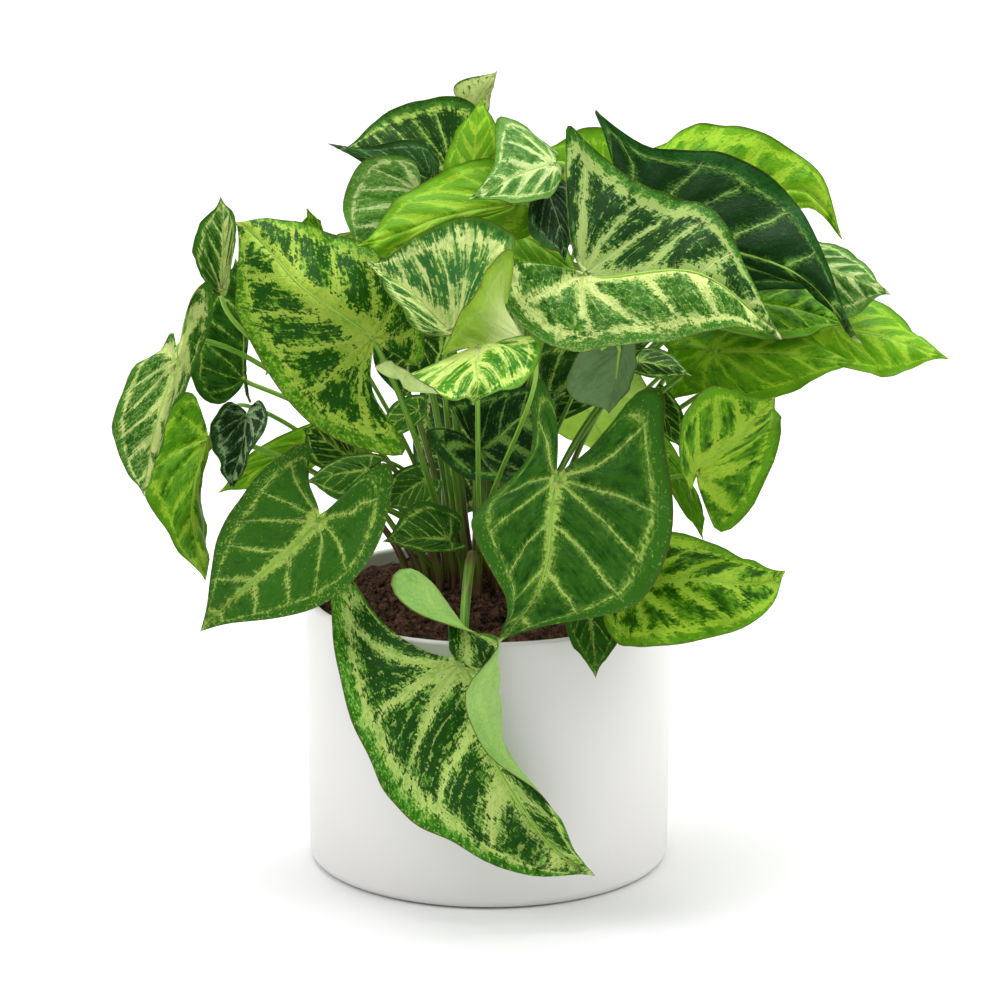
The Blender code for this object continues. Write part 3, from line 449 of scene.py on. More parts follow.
MARKINGS = {
    # The left half of this blade has its pale markings turned towards green: partly a duller tone,
    # partly painted shade, as that half faces away from the lamps
    "right_01": marked(
        "cream", right=0.028, left=0.024, rib=0.045, loop=0.022, minor=0.006, fill=0.42,
        patch=0.022, mottle=0.012, net=0.3, dull=0.5, light=0.45, speckle=1.0),
    "right_02": marked(
        "ink", both=0.006, rib=0.006, loop=0.001, minor=0.0, fill=0.4, patch=0.014, barb=0.014,
        streak=0.006, speckle=0.5),
    "right_03": marked("glow", both=0.06, rib=0.06, loop=0.03, fill=0.7, patch=0.04, streak=0.01),
    "right_04": marked("mist", both=0.03, fill=0.6, net=0.3),
    "right_05": marked("glow", both=0.045, fill=0.8, patch=0.03),
    "right_06": marked("glow", both=0.025, fill=0.7, patch=0.03),
    "right_07": marked(
        "lime", both=0.002, rib=0.006, loop=0.0, minor=0.0, fill=0.6, speckle=0.2, line=0.4),
    "right_08": marked(
        "lime", both=0.05, rib=0.10, loop=0.004, fill=0.65, patch=0.03, streak=0.02, mottle=0.02,
        speckle=1.0),
    "right_09": marked("lime", both=0.004, rib=0.02, loop=0.0, fill=0.8),
    "right_10": marked(
        "lime", both=0.035, rib=0.05, loop=0.02, fill=0.55, patch=0.03, barb=0.02, mottle=0.02,
        speckle=1.0),
    "right_11": marked("forest", both=0.0, rib=0.06, loop=0.0, fill=0.7, minor=0.0, line=0.1),
    "right_12": marked(
        "forest", both=0.009, rib=0.034, loop=0.003, minor=0.0, fill=0.68, patch=0.006, barb=0.012,
        streak=0.008, speckle=0.85),
    "right_13": marked("ink", right=0.03, left=0.012, rib=0.03, fill=0.45, patch=0.03, speckle=0.9),
    "right_14": marked("forest", both=0.012, fill=0.5),
    "right_15": marked("teal", bloom=0.0),
    "right_16": marked("forest", both=0.012),
    "right_17": marked("glow", both=0.04, fill=0.9, patch=0.03),
    "right_18": marked("forest", both=0.012),
    "left_01": marked(
        "fresh", right=0.027, left=0.032, rib=0.085, loop=0.012, minor=0.008, fill=0.40,
        patch=0.034, barb=0.022, streak=0.030, mottle=0.030, speckle=1.3),
    "left_02": marked(
        "butter", right=0.024, left=0.05, rib=0.09, loop=0.020, minor=0.014, fill=0.5, streak=0.050,
        wide=0.12),
    "left_03": marked("butter", both=0.05, bloom=0.6),
    "left_04": marked(
        "spring", both=0.035, rib=0.05, loop=0.020, minor=0.010, fill=0.6, streak=0.040, patch=0.03,
        wide=0.10),
    "left_05": marked("glow"),
    "left_06": marked(
        "forest", both=0.010, rib=0.056, loop=0.003, minor=0.0, fill=0.85, patch=0.014,
        mottle=0.006, speckle=1.1),
    "left_07": marked(
        "cream", right=0.026, left=0.085, rib=0.05, loop=0.014, fill=0.7, net=0.4, streak=0.03,
        mottle=0.01),
    "left_08": marked("cream", right=0.085, left=0.015, rib=0.07, fill=0.7, net=0.4, streak=0.03),
    "left_09": marked("lime", right=0.02, left=0.05, fill=0.75, patch=0.035, mottle=0.02),
    "left_10": marked(
        "forest", both=0.0, rib=0.006, loop=0.0, minor=0.0, fill=0.62, speckle=0.0, line=0.15),
    "left_11": marked("teal", right=0.015, left=0.05, rib=0.03, fill=0.35, patch=0.04, mottle=0.02),
    "left_12": marked("glow", both=0.04, fill=0.9),
    "left_13": marked("forest"),
    "left_14": marked("forest", both=0.008, fill=0.8),
    "left_15": marked(
        "moss", right=0.030, left=0.022, rib=0.05, loop=0.020, minor=0.009, fill=0.38, patch=0.018,
        barb=0.022, streak=0.018, mottle=0.012, speckle=1.2),
    "left_16": marked("forest", both=0.006, fill=0.7),
    "left_17": marked("forest", both=0.008, fill=0.8),
    "left_18": marked("forest", both=0.008, fill=0.8),
    "left_19": marked("forest", both=0.008, fill=0.3),
    "top_01": marked("forest", both=0.009, rib=0.02, fill=0.45, patch=0.02, speckle=0.8),
    "top_02": marked("cream", both=0.16, rib=0.16, loop=0.05, fill=1.0, wide=0.1, line=0.4),
    "top_03": marked("glow", both=0.04, fill=0.9),
    "top_04": marked("mist", right=0.028, left=0.04, rib=0.05, fill=0.65, net=0.3),
    "top_05": marked("glow", both=0.05, fill=0.9, patch=0.03),
    "top_06": marked("mist", both=0.025, fill=0.7, net=0.3),
    "top_07": marked("teal", both=0.004, rib=0.012, loop=0.0, fill=0.8, line=0.3),
    "top_08": marked("glow", both=0.025, fill=0.9),
    "top_09": marked("teal", both=0.004, rib=0.01, loop=0.0, line=0.3),
    "top_10": marked("glow", both=0.02, fill=0.8),
    "back_01": marked("forest"),
    "back_02": marked("cream"),
    "back_03": marked("moss"),
    "back_04": marked("lime", both=0.04),
    "back_05": marked("forest", both=0.012),
    "back_06": marked("glow", fill=0.8),
    "back_07": marked("moss"),
    "back_08": marked("lime", both=0.04),
    "back_09": marked("forest"),
    "back_10": marked("forest", both=0.008, fill=0.3),
}

# Shaded blades that no light comes through
SOLID_LEAVES = ("right_09", "right_16", "right_18", "left_11", "left_13", "left_17", "left_18",
                "left_19", "back_05", "back_06", "back_10")


def seen_at(column, row, depth):
    """The point at this depth along Y (millimetres) that shows at this pixel."""
    ahead = np.array([0.0, cos(VIEW_TILT), -sin(VIEW_TILT)])
    up = np.array([0.0, sin(VIEW_TILT), cos(VIEW_TILT)])
    eye = (0.0, 0.0, VIEW_HEIGHT) - VIEW_DISTANCE * ahead
    ray = ahead + up * (VIEW_CENTRE[1] - row) / VIEW_FOCAL
    ray[0] += (column - VIEW_CENTRE[0]) / VIEW_FOCAL
    return eye + ray * (depth * MM - eye[1]) / ray[1]


def unit(vector):
    """The vector at length one."""
    return vector / np.linalg.norm(vector)


def leaf_marks(spec, place):
    """The blade's landmarks in metres, with the missing ones filled in, and its axis and facing."""
    marks = {name: place(*value) for name, value in spec.items() if name in PLACES}
    joint = marks["joint"]
    axis = marks["tip"] - joint
    length = np.linalg.norm(axis)
    widest, half_width = PLACES["right"]
    middle = joint + widest * axis
    right = (marks["right"] - middle) / half_width if "right" in marks else None
    left = (middle - marks["left"]) / half_width if "left" in marks else None
    if right is None and left is None:
        facing = np.array(spec["face"], float)
        facing = unit(facing - facing @ axis * axis / length ** 2)
        right = left = np.cross(axis, facing) * spec.get("width", 1.0)
    right = left if right is None else right
    left = right if left is None else left
    facing = unit(np.cross((right + left) / 2, axis))
    for name, drop in GUESSED_DROPS.items():
        ahead, out = PLACES[name]
        across = right if out > 0 else left
        marks.setdefault(name, joint + ahead * axis + out * across - drop * length * facing)
    return marks, axis, facing


def spline_terms(places):
    """What a blade may do without bending: move, turn, stretch, and fold at the midrib."""
    ahead, across = places.T
    fold = np.sqrt(across ** 2 + CREASE ** 2)
    return np.stack([np.ones(len(places)), ahead, across, fold], axis=1)


def spline_kernel(first, second):
    """How much a pull at each second place lifts a thin sheet at each first place."""
    square = ((first[:, None] - second[None]) ** 2).sum(axis=2)
    return np.where(square > 1e-12, 0.5 * square * np.log(np.maximum(square, 1e-12)), 0.0)


def leaf_surface(marks):
    """A function that bends the flat blade through its landmarks, like a thin creased sheet."""
    places = np.array([PLACES[name] for name in marks])
    points = np.array(list(marks.values()))
    terms = spline_terms(places)
    count, free = terms.shape
    system = np.zeros((count + free, count + free))
    system[:count, :count] = spline_kernel(places, places) + STIFFNESS * np.eye(count)
    system[:count, count:] = terms
    system[count:, :count] = terms.T
    weights = np.linalg.solve(system, np.concatenate([points, np.zeros((free, 3))]))

    def bend(flat):
        flat = np.asarray(flat, float)
        return np.concatenate([spline_kernel(flat, places), spline_terms(flat)], axis=1) @ weights

    return bend


def lengths_along(points):
    """How far along a line of points each point is."""
    return np.concatenate([[0], np.cumsum(np.linalg.norm(np.diff(points, axis=0), axis=1))])


def margin_points(shares):
    """Points at these shares of the half margin's length, on a smooth curve through its corners."""
    before = 2 * HALF_MARGIN[:1] - HALF_MARGIN[1:2]
    after = 2 * HALF_MARGIN[-1:] - HALF_MARGIN[-2:-1]
    corners = np.concatenate([before, HALF_MARGIN, after])
    run = lengths_along(HALF_MARGIN)
    run /= run[-1]
    points = []
    for share in shares:
        k = min(max(int(np.searchsorted(run, share)) - 1, 0), len(run) - 2)
        t = (share - run[k]) / (run[k + 1] - run[k])
        a, b, c, d = corners[k:k + 4]
        square, cube = 2 * a - 5 * b + 4 * c - d, 3 * b - a - 3 * c + d
        points.append(0.5 * (2 * b + (c - a) * t + square * t ** 2 + cube * t ** 3))
    return np.array(points)


def flat_half(along, across):
    """Half of the flat blade: rows of points from the midrib to the margin, from the tip on."""
    margin = margin_points(np.linspace(0, 1, along + 1))
    widest = int(np.argmax(margin[:, 1]))
    rib = np.clip(1 - RIB_SPREAD * (1 - margin[:, 0]), 0, 1)
    rib[widest:] = 0
    foot = np.stack([rib, 0 * rib], axis=1)
    share = np.linspace(0, 1, across + 1)[None, :, None]
    return foot[:, None] + share * (margin - foot)[:, None]


def flat_blade(along, across):
    """The whole flat blade: its places, how far each is out to the margin and round it, its cells
    of four corners with the half that each is on, and the edges of its margin."""
    rows = flat_half(along, across)
    places, shares, index, cells, rim = [], [], {}, [], []

    def number(i, j, side):
        u, v = rows[i][j]
        key = (round(u, 6), round(side * v, 6))
        if key not in index:
            index[key] = len(places)
            places.append((u, side * v))
            shares.append((j / across, i / along))
        return index[key]

    for side in (1, -1):
        grid = [[number(i, j, side) for j in range(across + 1)] for i in range(along)]
        for i in range(along - 1):
            for j in range(across):
                corners = (grid[i][j], grid[i + 1][j], grid[i + 1][j + 1], grid[i][j + 1])
                cells.append((corners, side))
        edge = [row[across] for row in grid] + grid[-1][-2::-1]
        rim += [pair[::side] for pair in zip(edge, edge[1:])]
    return np.array(places), np.array(shares), cells, rim


def soil_height(x, y):
    """The height of the soil's top: a low mound at the crown, flat towards the pot's wall."""
    away = hypot(x - CROWN[0], y - CROWN[1])
    mound = (SOIL_CROWN - SOIL_EDGE) * exp(-(away / MOUND_RADIUS) ** 2)
    lumps = sin(LUMPS_ALONG[0] * x + LUMPS_ALONG[1]) * sin(LUMPS_ACROSS[0] * y + LUMPS_ACROSS[1])
    return SOIL_EDGE + mound + SOIL_LUMP * lumps


def stalk_feet(joints):
    """Where each stalk leaves the soil: on its leaf's side, further out the lower it leans."""
    names = list(joints)
    away = np.array([joints[name][:2] for name in names]) - CROWN
    height = np.array([joints[name][2] for name in names]) - LEAN_LEVEL
    lean = np.hypot(*away.T) / np.maximum(height, LEAST_RISE)
    turn = np.arctan2(away[:, 1], away[:, 0])
    rank = np.argsort(np.argsort(lean, kind="stable"), kind="stable")
    radius = CROWN_SPREAD * np.sqrt((rank + 0.5) / len(names))
    feet = CROWN + np.stack([CROWN_STRETCH * radius * np.cos(turn), radius * np.sin(turn)], axis=1)
    for _ in range(FOOT_ROUNDS):
        apart = feet[:, None] - feet[None]
        distance = np.linalg.norm(apart, axis=2) + np.eye(len(feet))
        push = np.maximum(0, FOOT_SPACING - distance) / 2
        feet = feet + FOOT_EASE * (apart / distance[..., None] * push[..., None]).sum(axis=1)
    return dict(zip(names, feet))


def stalk_curve(foot, leaf, bow, count):
    """A stalk's points above the soil: a curve that comes to the blade from behind and below."""
    turn, out, lift, rising, arriving = bow
    joint = leaf["marks"]["joint"]
    start = np.array([foot[0], foot[1], COLLAR])
    reach = np.linalg.norm(joint - start)
    rise = start + STALK_LEAN * (joint - start) * (1, 1, 0) + (0, 0, rising * reach)
    arrive = joint - arriving * reach * (unit(leaf["axis"]) + leaf["facing"])
    side = np.array([cos(turn), sin(turn), 0.0]) * out
    t = np.linspace(0, 1, count)[:, None]
    corners = (start, rise + side, arrive + UPPER_BOW * side + (0, 0, lift), joint)
    weights = enumerate((1, 3, 3, 1))
    return sum(k * t ** i * (1 - t) ** (3 - i) * corners[i] for i, k in weights)


def stalk_bows():
    """Bows to try on a stalk, the least first: turn, reach, lift and the lengths of tangents."""
    tangents = [(rise, arrive) for rise in STALK_RISES for arrive in STALK_ARRIVALS]
    bows = [(0.0, 0.0, 0.0, *tangent) for tangent in tangents]
    for reach in BOW_REACHES:
        for tangent in tangents:
            for lift in (0.0, UPPER_BOW * reach):
                bows += [(2 * pi / BOW_TURNS * k, reach, lift, *tangent) for k in range(BOW_TURNS)]
    return bows


def samples_along(points, count):
    """Points spaced evenly along a line of points."""
    run = lengths_along(points)
    at = np.linspace(0, run[-1], count)
    return np.stack([np.interp(at, run, column) for column in points.T], axis=1)


def shortfall(samples, others, own, stalks, worst):
    """How far a stalk comes inside its clearances to blades, stalks, the pot and the soil."""
    missing = 0.0
    for k, point in enumerate(samples):
        if missing >= worst:
            return missing
        apart = stalks.find(point)[2]
        missing += 0.0 if apart is None else max(0.0, STALK_SPACING - apart)
        for blades in (others, own) if k < OWN_BLADE_SHARE * len(samples) else (others,):
            near = blades.find_nearest(point, STALK_CLEARANCE)[3]
            missing += 0.0 if near is None else STALK_CLEARANCE - near
        radius = hypot(point[0], point[1])
        by_wall = RIM_RADIUS - POT_WALL - STALK_CLEARANCE < radius < RIM_RADIUS + STALK_CLEARANCE
        if by_wall and point[2] < POT_HEIGHT + STALK_CLEARANCE:
            missing += POT_HEIGHT + STALK_CLEARANCE - point[2]
        if radius < RIM_RADIUS and k > 1:
            missing += max(0.0, soil_height(*point[:2]) + STALK_CLEARANCE / 2 - point[2])
    return missing


def route_stalks(leaves):
    """Gives each leaf its foot and the least bow that keeps clear of all that was placed before."""
    feet = stalk_feet({name: leaf["marks"]["joint"] for name, leaf in leaves.items()})
    bows = stalk_bows()
    placed = []
    for name, leaf in leaves.items():
        points, faces = [], []
        for neighbour in leaves.values():
            if neighbour is not leaf:
                faces += [tuple(len(points) + k for k in face) for face in neighbour["faces"]]
                points += neighbour["points"].tolist()
        others = BVHTree.FromPolygons(points, faces)
        own = BVHTree.FromPolygons(leaf["points"].tolist(), leaf["faces"])
        stalks = KDTree(len(placed))
        for k, point in enumerate(placed):
            stalks.insert(point, k)
        stalks.balance()
        least = inf
        for bow in bows:
            samples = samples_along(stalk_curve(feet[name], leaf, bow, STALK_RINGS), STALK_SAMPLES)
            missing = shortfall(samples, others, own, stalks, least)
            if missing < least:
                least, kept, leaf["bow"] = missing, samples, bow
            if missing == 0:
                break
        leaf["foot"] = feet[name]
        placed += kept.tolist()


def all_leaves():
    """Each leaf's landmarks, its bent blade and its stalk."""
    specs = [(name, spec, seen_at) for name, spec in SEEN_LEAVES.items()]
    specs += [(name, spec, lambda *at: np.array(at) * MM) for name, spec in BACK_LEAVES.items()]
    leaves = {}
    for name, spec, place in specs:
        marks, axis, facing = leaf_marks(spec, place)
        length = np.linalg.norm(axis)
        rows = ROWS_ALONG if length > SMALL_LEAF else SMALL_ROWS_ALONG
        places, _, cells, _ = flat_blade(rows, ROWS_ACROSS)
        halves = [half for (a, b, c, d), _ in cells for half in ((a, b, c), (a, c, d))
                  if len(set(half)) == 3]
        bend = leaf_surface(marks)
        leaves[name] = dict(marks=marks, axis=axis, length=length, facing=facing, bend=bend,
                            points=bend(places), faces=halves)
    route_stalks(leaves)
    return leaves


def linear(code):
    """A colour code such as #4a8c43 as linear red, green, blue and full alpha."""
    shares = [int(code[k:k + 2], 16) / 255 for k in (1, 3, 5)]
    return [s / 12.92 if s <= 0.04045 else ((s + 0.055) / 1.055) ** 2.4 for s in shares] + [1.0]


class Field:
    """An output in a node tree. Arithmetic on fields adds the nodes that work it out."""

    def __init__(self, nodes, socket):
        self.nodes = nodes
        self.socket = socket

    def __add__(self, other):
        return self.nodes.math("ADD", self, other)

    def __sub__(self, other):
        return self.nodes.math("SUBTRACT", self, other)

    def __rsub__(self, other):
        return self.nodes.math("SUBTRACT", other, self)

    def __mul__(self, other):
        return self.nodes.math("MULTIPLY", self, other)

    def __abs__(self):
        return self.nodes.math("ABSOLUTE", self)

    def line(self, slope, start):
        """slope times this field plus start."""
        return self.nodes.math("MULTIPLY_ADD", self, slope, start)

    def step(self, low, high):
        """A smooth rise from 0 at low to 1 at high."""
        node = self.nodes.add("ShaderNodeMapRange", dict(enumerate((self, low, high))),
                              interpolation_type="SMOOTHSTEP")
        return Field(self.nodes, node.outputs[0])


class Nodes:
    """Adds nodes to a tree. An input is given a field or socket to link, or a plain value."""

    def __init__(self, tree):
        self.tree = tree

    def give(self, socket, value):
        """Links a field or socket to an input, or sets the input's value."""
        value = value.socket if isinstance(value, Field) else value
        if isinstance(value, bpy.types.NodeSocket):
            self.tree.links.new(value, socket)
        else:
            socket.default_value = value

    def add(self, kind, inputs=None, **settings):
        """A new node with these settings and inputs."""
        node = self.tree.nodes.new(kind)
        for name, value in settings.items():
            setattr(node, name, value)
        for name, value in (inputs or {}).items():
            self.give(node.inputs[name], value)
        return node

    def field(self, kind, inputs=None, output=0, **settings):
        """One output of a new node."""
        return Field(self, self.add(kind, inputs, **settings).outputs[output])

    def math(self, operation, *values):
        return self.field("ShaderNodeMath", dict(enumerate(values)), operation=operation)

    def most(self, first, *others):
        """The greatest of several fields."""
        for other in others:
            first = self.math("MAXIMUM", first, other)
        return first

    def blend(self, fields, shares):
        """The sum of the fields that are named, each times its share."""
        total = 0.0
        for name, share in shares.items():
            total = getattr(fields, name).line(share, total)
        return total

    def object_place(self):
        return self.field("ShaderNodeTexCoord", output="Object")

    def attribute(self, name, output="Fac"):
        return self.field("ShaderNodeAttribute", output=output, attribute_name=name)

    def parts(self, vector):
        """The three parts of a vector."""
        node = self.add("ShaderNodeSeparateXYZ", {0: vector})
        return [Field(self, part) for part in node.outputs]

    def vector(self, x, y, z):
        return self.field("ShaderNodeCombineXYZ", dict(enumerate((x, y, z))))

    def noise(self, vector, scale, detail=2.0, roughness=0.5):
        return self.field("ShaderNodeTexNoise", {"Vector": vector, "Scale": scale, "Detail": detail,
                                                 "Roughness": roughness}, output="Fac")

    def mix(self, share, first, second, blend="MIX"):
        """The first colour, turned into the second by this share."""
        inputs = {0: share, 6: first, 7: second}
        return self.field("ShaderNodeMix", inputs, output=2, data_type="RGBA", blend_type=blend)


def new_material(name):
    """An empty material and the tool that adds its nodes."""
    made = bpy.data.materials.new(name)
    made.use_nodes = True
    made.node_tree.nodes.clear()
    return made, Nodes(made.node_tree)


def surface(nodes, colour, roughness, height=None, relief=0.0003, through=0.0, **constants):
    """Closes a material: a Principled shader, with light let through a thin sheet if asked."""
    shader = nodes.add("ShaderNodeBsdfPrincipled", {"Base Color": colour, "Roughness": roughness})
    for name, value in constants.items():
        shader.inputs[name.replace("_", " ").title().replace("Ior", "IOR")].default_value = value
    if height is not None:
        inputs = {"Height": height, "Distance": relief, "Strength": 1.0}
        nodes.give(shader.inputs["Normal"], nodes.field("ShaderNodeBump", inputs))
    result = shader.outputs[0]
    if through:
        glow = nodes.field("ShaderNodeBsdfTranslucent", {"Color": colour})
        result = nodes.field("ShaderNodeMixShader", {0: through, 1: result, 2: glow})
    nodes.add("ShaderNodeOutputMaterial", {"Surface": result})


def blade_places(nodes, given):
    """Where a point is on its blade, in shares of the blade's length, and the noises there."""
    at = SimpleNamespace()
    at.along, at.across, _ = nodes.parts(nodes.field("ShaderNodeUVMap", uv_map="Blade"))
    at.lane, at.run, _ = nodes.parts(nodes.field("ShaderNodeUVMap", uv_map="Veins"))
    at.out = abs(at.across)
    at.from_joint = nodes.math("SQRT", at.along * at.along + at.across * at.across)
    at.on_right = nodes.math("GREATER_THAN", at.across, 0.0)
    at.seed = given["Seed"]
    at.layer = at.on_right.line(HALF_SEED, at.seed)
    for name, (x, x_scale, y, y_scale, z, detail) in BLADE_NOISES.items():
        x, y, z = getattr(at, x), getattr(at, y), getattr(at, z)
        vector = nodes.vector(x * given["Size"] * x_scale, y * given["Size"] * y_scale, z)
        setattr(at, name, nodes.noise(vector, 1.0, detail, 0.66).line(4.0, -2.0))
    at.broad = nodes.noise(nodes.vector(at.along, at.across, at.seed), 2.6, 1.0)
    whole_lane = nodes.math("ROUND", at.lane)
    at.lane_noise = nodes.noise(nodes.vector(whole_lane, at.layer, at.run), 1.7, 1.0)
    at.past_joint = at.along.step(-0.02, 0.02)
    at.inside = (at.run - given["Wide"]).step(LOOP_SHARE + 0.06, LOOP_SHARE - 0.01)
    ahead = nodes.math("GREATER_THAN", at.lane, 0.0)
    gap = ahead * (LANE_LENGTH * 0.82) + (1.0 - ahead) * LANE_ANGLE * at.from_joint
    bent_lane = at.wander.line(0.10, at.lane)
    at.from_lateral = nodes.math("PINGPONG", bent_lane, 0.5) * gap
    at.from_minor = nodes.math("PINGPONG", bent_lane.line(4.0, at.patches * 0.2), 0.5) * gap * 0.25
    return at


def band_depth(nodes, given, at):
    """How deep a point is in a pale band: on a vein, the loop or the midrib, or at the joint."""
    width = given["Left"] + at.on_right * (given["Right"] - given["Left"])
    taper = nodes.math("POWER", at.run.line(-0.9, 1.0), 1.3)
    reach = width * taper.line(1.5, 0.08) * at.lane_noise.line(1.2, 0.4)
    lateral = reach - at.from_lateral + at.inside.line(0.08, -0.08)
    rib_reach = given["Rib"] * at.along.line(-0.95, 1.05)
    rib = rib_reach - at.out + at.past_joint.line(0.1, -0.1) + at.rib_barbs * given["Barb"]
    joint = given["Rib"].line(1.3, 0.012) - at.from_joint
    loop_reach = given["Loop"] * at.broad.line(1.6, 0.2) + at.patches * given["Loop"] * 0.9
    from_loop = abs(at.wander.line(0.02, at.run - LOOP_SHARE)) * 0.42
    loop = loop_reach - from_loop + at.along.step(0.94, 0.88).line(0.05, -0.05)
    ragged = at.barbs * given["Barb"] + at.streaks * given["Streak"] + at.patches * given["Patch"]
    fine = at.mottle.line(0.8, at.grit) * given["Barb"] * 0.8 + at.mottle * given["Mottle"]
    return nodes.most(lateral, loop, rib, joint) + ragged + fine


def pale_share(nodes, given, at):
    """How pale a point is: in a band or its fringe, on a minor vein or the net, or in a fleck."""
    fringe = nodes.blend(at, {"barbs": 0.012, "grit": 0.012}) + at.band
    minor = nodes.blend(at, MINOR_NOISES) * given["Minor"] + given["Minor"] * 0.25
    minor = minor - at.from_minor + at.inside.line(0.03, -0.03)
    flecks = nodes.blend(at, {"grit": 1.0, "mottle": 0.5, "patches": 0.35})
    flecks = (flecks + given["Speckle"] * at.inside.line(-0.28, 0.73)).step(1.12, 1.28)
    ragged = nodes.blend(at, {"patches": 1.0, "mottle": 1.0, "grit": 1.0}).step(-0.5, 0.5)
    return nodes.most(at.band.step(-0.002, 0.004), fringe.step(-0.022, 0.002) * 0.30,
                      minor.step(-0.001, 0.003) * 0.65, flecks * 0.75,
                      at.net * given["Net"] * ragged * at.on_right)


def upper_colour(nodes, given, at):
    """The upper side: patches of dark and green, pale markings, vein lines and a broad shade."""
    shade = nodes.blend(at, {"patches": 0.35, "streaks": 0.22, "mottle": 0.2})
    shade = shade + given["Fill"].line(1.6, -0.95) + at.on_right * given["Light"]
    shade = shade + at.band.step(-0.045, 0.0) * 0.35 + at.inside.line(-0.5, 0.5)
    body = nodes.mix(shade.step(-0.35, 0.45), given["Dark"], given["Green"])
    tint = nodes.blend(at, {"patches": 1.0, "mottle": 1.0, "grit": 0.5}).step(-0.3, 1.3) * 0.6
    # On the left half the pale markings turn towards green by this share: partly a duller tone,
    # partly painted shade where that half faces away from the lamps
    tint = nodes.most(tint, given["Dull"] * (1.0 - at.on_right))
    colour = nodes.mix(at.pale, body, nodes.mix(tint, given["Pale"], given["Green"]))
    colour = nodes.mix(at.lines * 0.8, colour, given["Vein"])
    core = at.out.step(0.0026, 0.0012) * at.broad * at.past_joint
    colour = nodes.mix(core, colour, linear(RIB_CORE))
    return nodes.mix(1.0, colour, nodes.vector(*[at.broad.line(0.5, 0.74)] * 3), "MULTIPLY")


def lower_colour(nodes, given, at):
    """The underside: paler, clouded, with the markings and veins faintly showing through."""
    cloud = nodes.blend(at, {"patches": 1.0, "wander": 0.8, "mottle": 0.4}).step(-0.6, 1.0)
    under = nodes.mix(cloud * 0.45, given["Under"], given["Green"])
    under = nodes.mix(at.pale * 0.3, under, given["Pale"])
    under = nodes.mix(at.from_joint.step(0.5, 0.15) * given["Bloom"], under, given["Vein"])
    return nodes.mix(nodes.most(at.lines, at.net * 0.35) * 0.3, under, given["Green"])


def marking_group():
    """The node group that draws a blade's markings."""
    tree = bpy.data.node_groups.new("blade_marking", "ShaderNodeTree")
    sockets = [(name, "INPUT", "Color") for name in PALETTE_PARTS]
    sockets += [(name.title(), "INPUT", "Float") for name in (*PLAIN_MARKING, "seed", "size")]
    sockets += [("Colour", "OUTPUT", "Color")]
    sockets += [(name, "OUTPUT", "Float") for name in ("Height", "Roughness")]
    for name, way, kind in sockets:
        tree.interface.new_socket(name, in_out=way, socket_type="NodeSocket" + kind)
    nodes = Nodes(tree)
    entry = nodes.add("NodeGroupInput").outputs
    given = {socket.name: Field(nodes, socket) for socket in entry if socket.name}
    at = blade_places(nodes, given)
    at.band = band_depth(nodes, given, at)
    bend = nodes.vector(nodes.blend(at, {"along": 1.0, "wander": 0.02, "mottle": 0.006}),
                        at.patches.line(0.012, at.across), at.seed)
    cells = nodes.field("ShaderNodeTexVoronoi", {"Vector": bend, "Scale": NET_CELLS},
                        output="Distance", feature="DISTANCE_TO_EDGE")
    at.net = cells.step(0.10, 0.03)
    at.pale = pale_share(nodes, given, at)
    laterals = at.from_lateral.step(0.0032, 0.0012) * at.inside * given["Line"] * 0.5
    at.lines = nodes.most(laterals, at.past_joint * at.out.step(0.008, 0.004))
    below = nodes.attribute("underside")
    colour = nodes.mix(below, upper_colour(nodes, given, at), lower_colour(nodes, given, at))
    rim = at.run.step(0.984, 0.997) * at.broad.line(1.2, 0.1)
    nodes.add("NodeGroupOutput", {
        "Colour": nodes.mix(rim, colour, linear(DRY_RIM)),
        "Height": nodes.blend(at, BLADE_RELIEF),
        "Roughness": below.line(0.18, 0.34) + at.broad * 0.12})
    return tree


def blade_material(name, group, seed, length):
    """One blade's own markings in its own colours, on a thin leaf that lets some light through."""
    palette, marking = MARKINGS[name]
    marking = marking | {"seed": seed, "size": length / MARKED_LENGTH}
    made, nodes = new_material("blade_" + name)
    drawn = nodes.add("ShaderNodeGroup", node_tree=group)
    for part, code in zip(PALETTE_PARTS, PALETTES[palette]):
        drawn.inputs[part].default_value = linear(code)
    for part, value in marking.items():
        drawn.inputs[part.title()].default_value = value
    through = 0.0 if name in SOLID_LEAVES else bpy.context.scene.syngonium_leaves.light_through
    colour, height, roughness = drawn.outputs
    surface(nodes, colour, roughness, height, 0.0006, through=through, specular_ior_level=0.10)
    return made


def stalk_material():
    """Green stalks that turn straw and reddish brown at the foot, streaked along their length."""
    made, nodes = new_material("stalk")
    way = nodes.attribute("run")
    place = nodes.object_place()
    x, y, _ = nodes.parts(nodes.attribute("ring", "Vector"))
    round_it = nodes.vector(x, y, nodes.noise(place, 9.0, 1.0) * 5.0)
    streaks = nodes.noise(round_it, 1.7, 3.0).step(0.34, 0.66)
    blotches = nodes.noise(place, 38.0).step(0.38, 0.62)
    green = nodes.mix(streaks, *map(linear, STALK_GREENS))
    sheath = nodes.mix(streaks, *map(linear, STALK_SHEATHS))
    aged = nodes.mix(blotches, sheath, linear(STALK_BLOTCH))
    foot = blotches.line(0.22, way).step(0.56, 0.12)
    fresh = nodes.mix(way.step(0.6, 0.8), green, linear(STALK_TIP))
    surface(nodes, nodes.mix(foot, fresh, aged), 0.42, streaks, 0.0002, specular_ior_level=0.25)
    return made


def glaze_material():
    """White glazed earthenware with a faint mottle and the soft ripple of a thick glaze."""
    made, nodes = new_material("glaze")
    place = nodes.object_place()
    mottle = nodes.noise(place, 14.0, 3.0)
    grain = nodes.noise(place, 420.0, 3.0)
    colour = nodes.mix(mottle, *map(linear, GLAZE))
    roughness = mottle.line(0.10, 0.33) + grain * 0.06
    height = mottle * 0.5 + grain * 0.08
    surface(nodes, colour, roughness, height, 0.0002, coat_weight=0.12, coat_roughness=0.25)
    return made


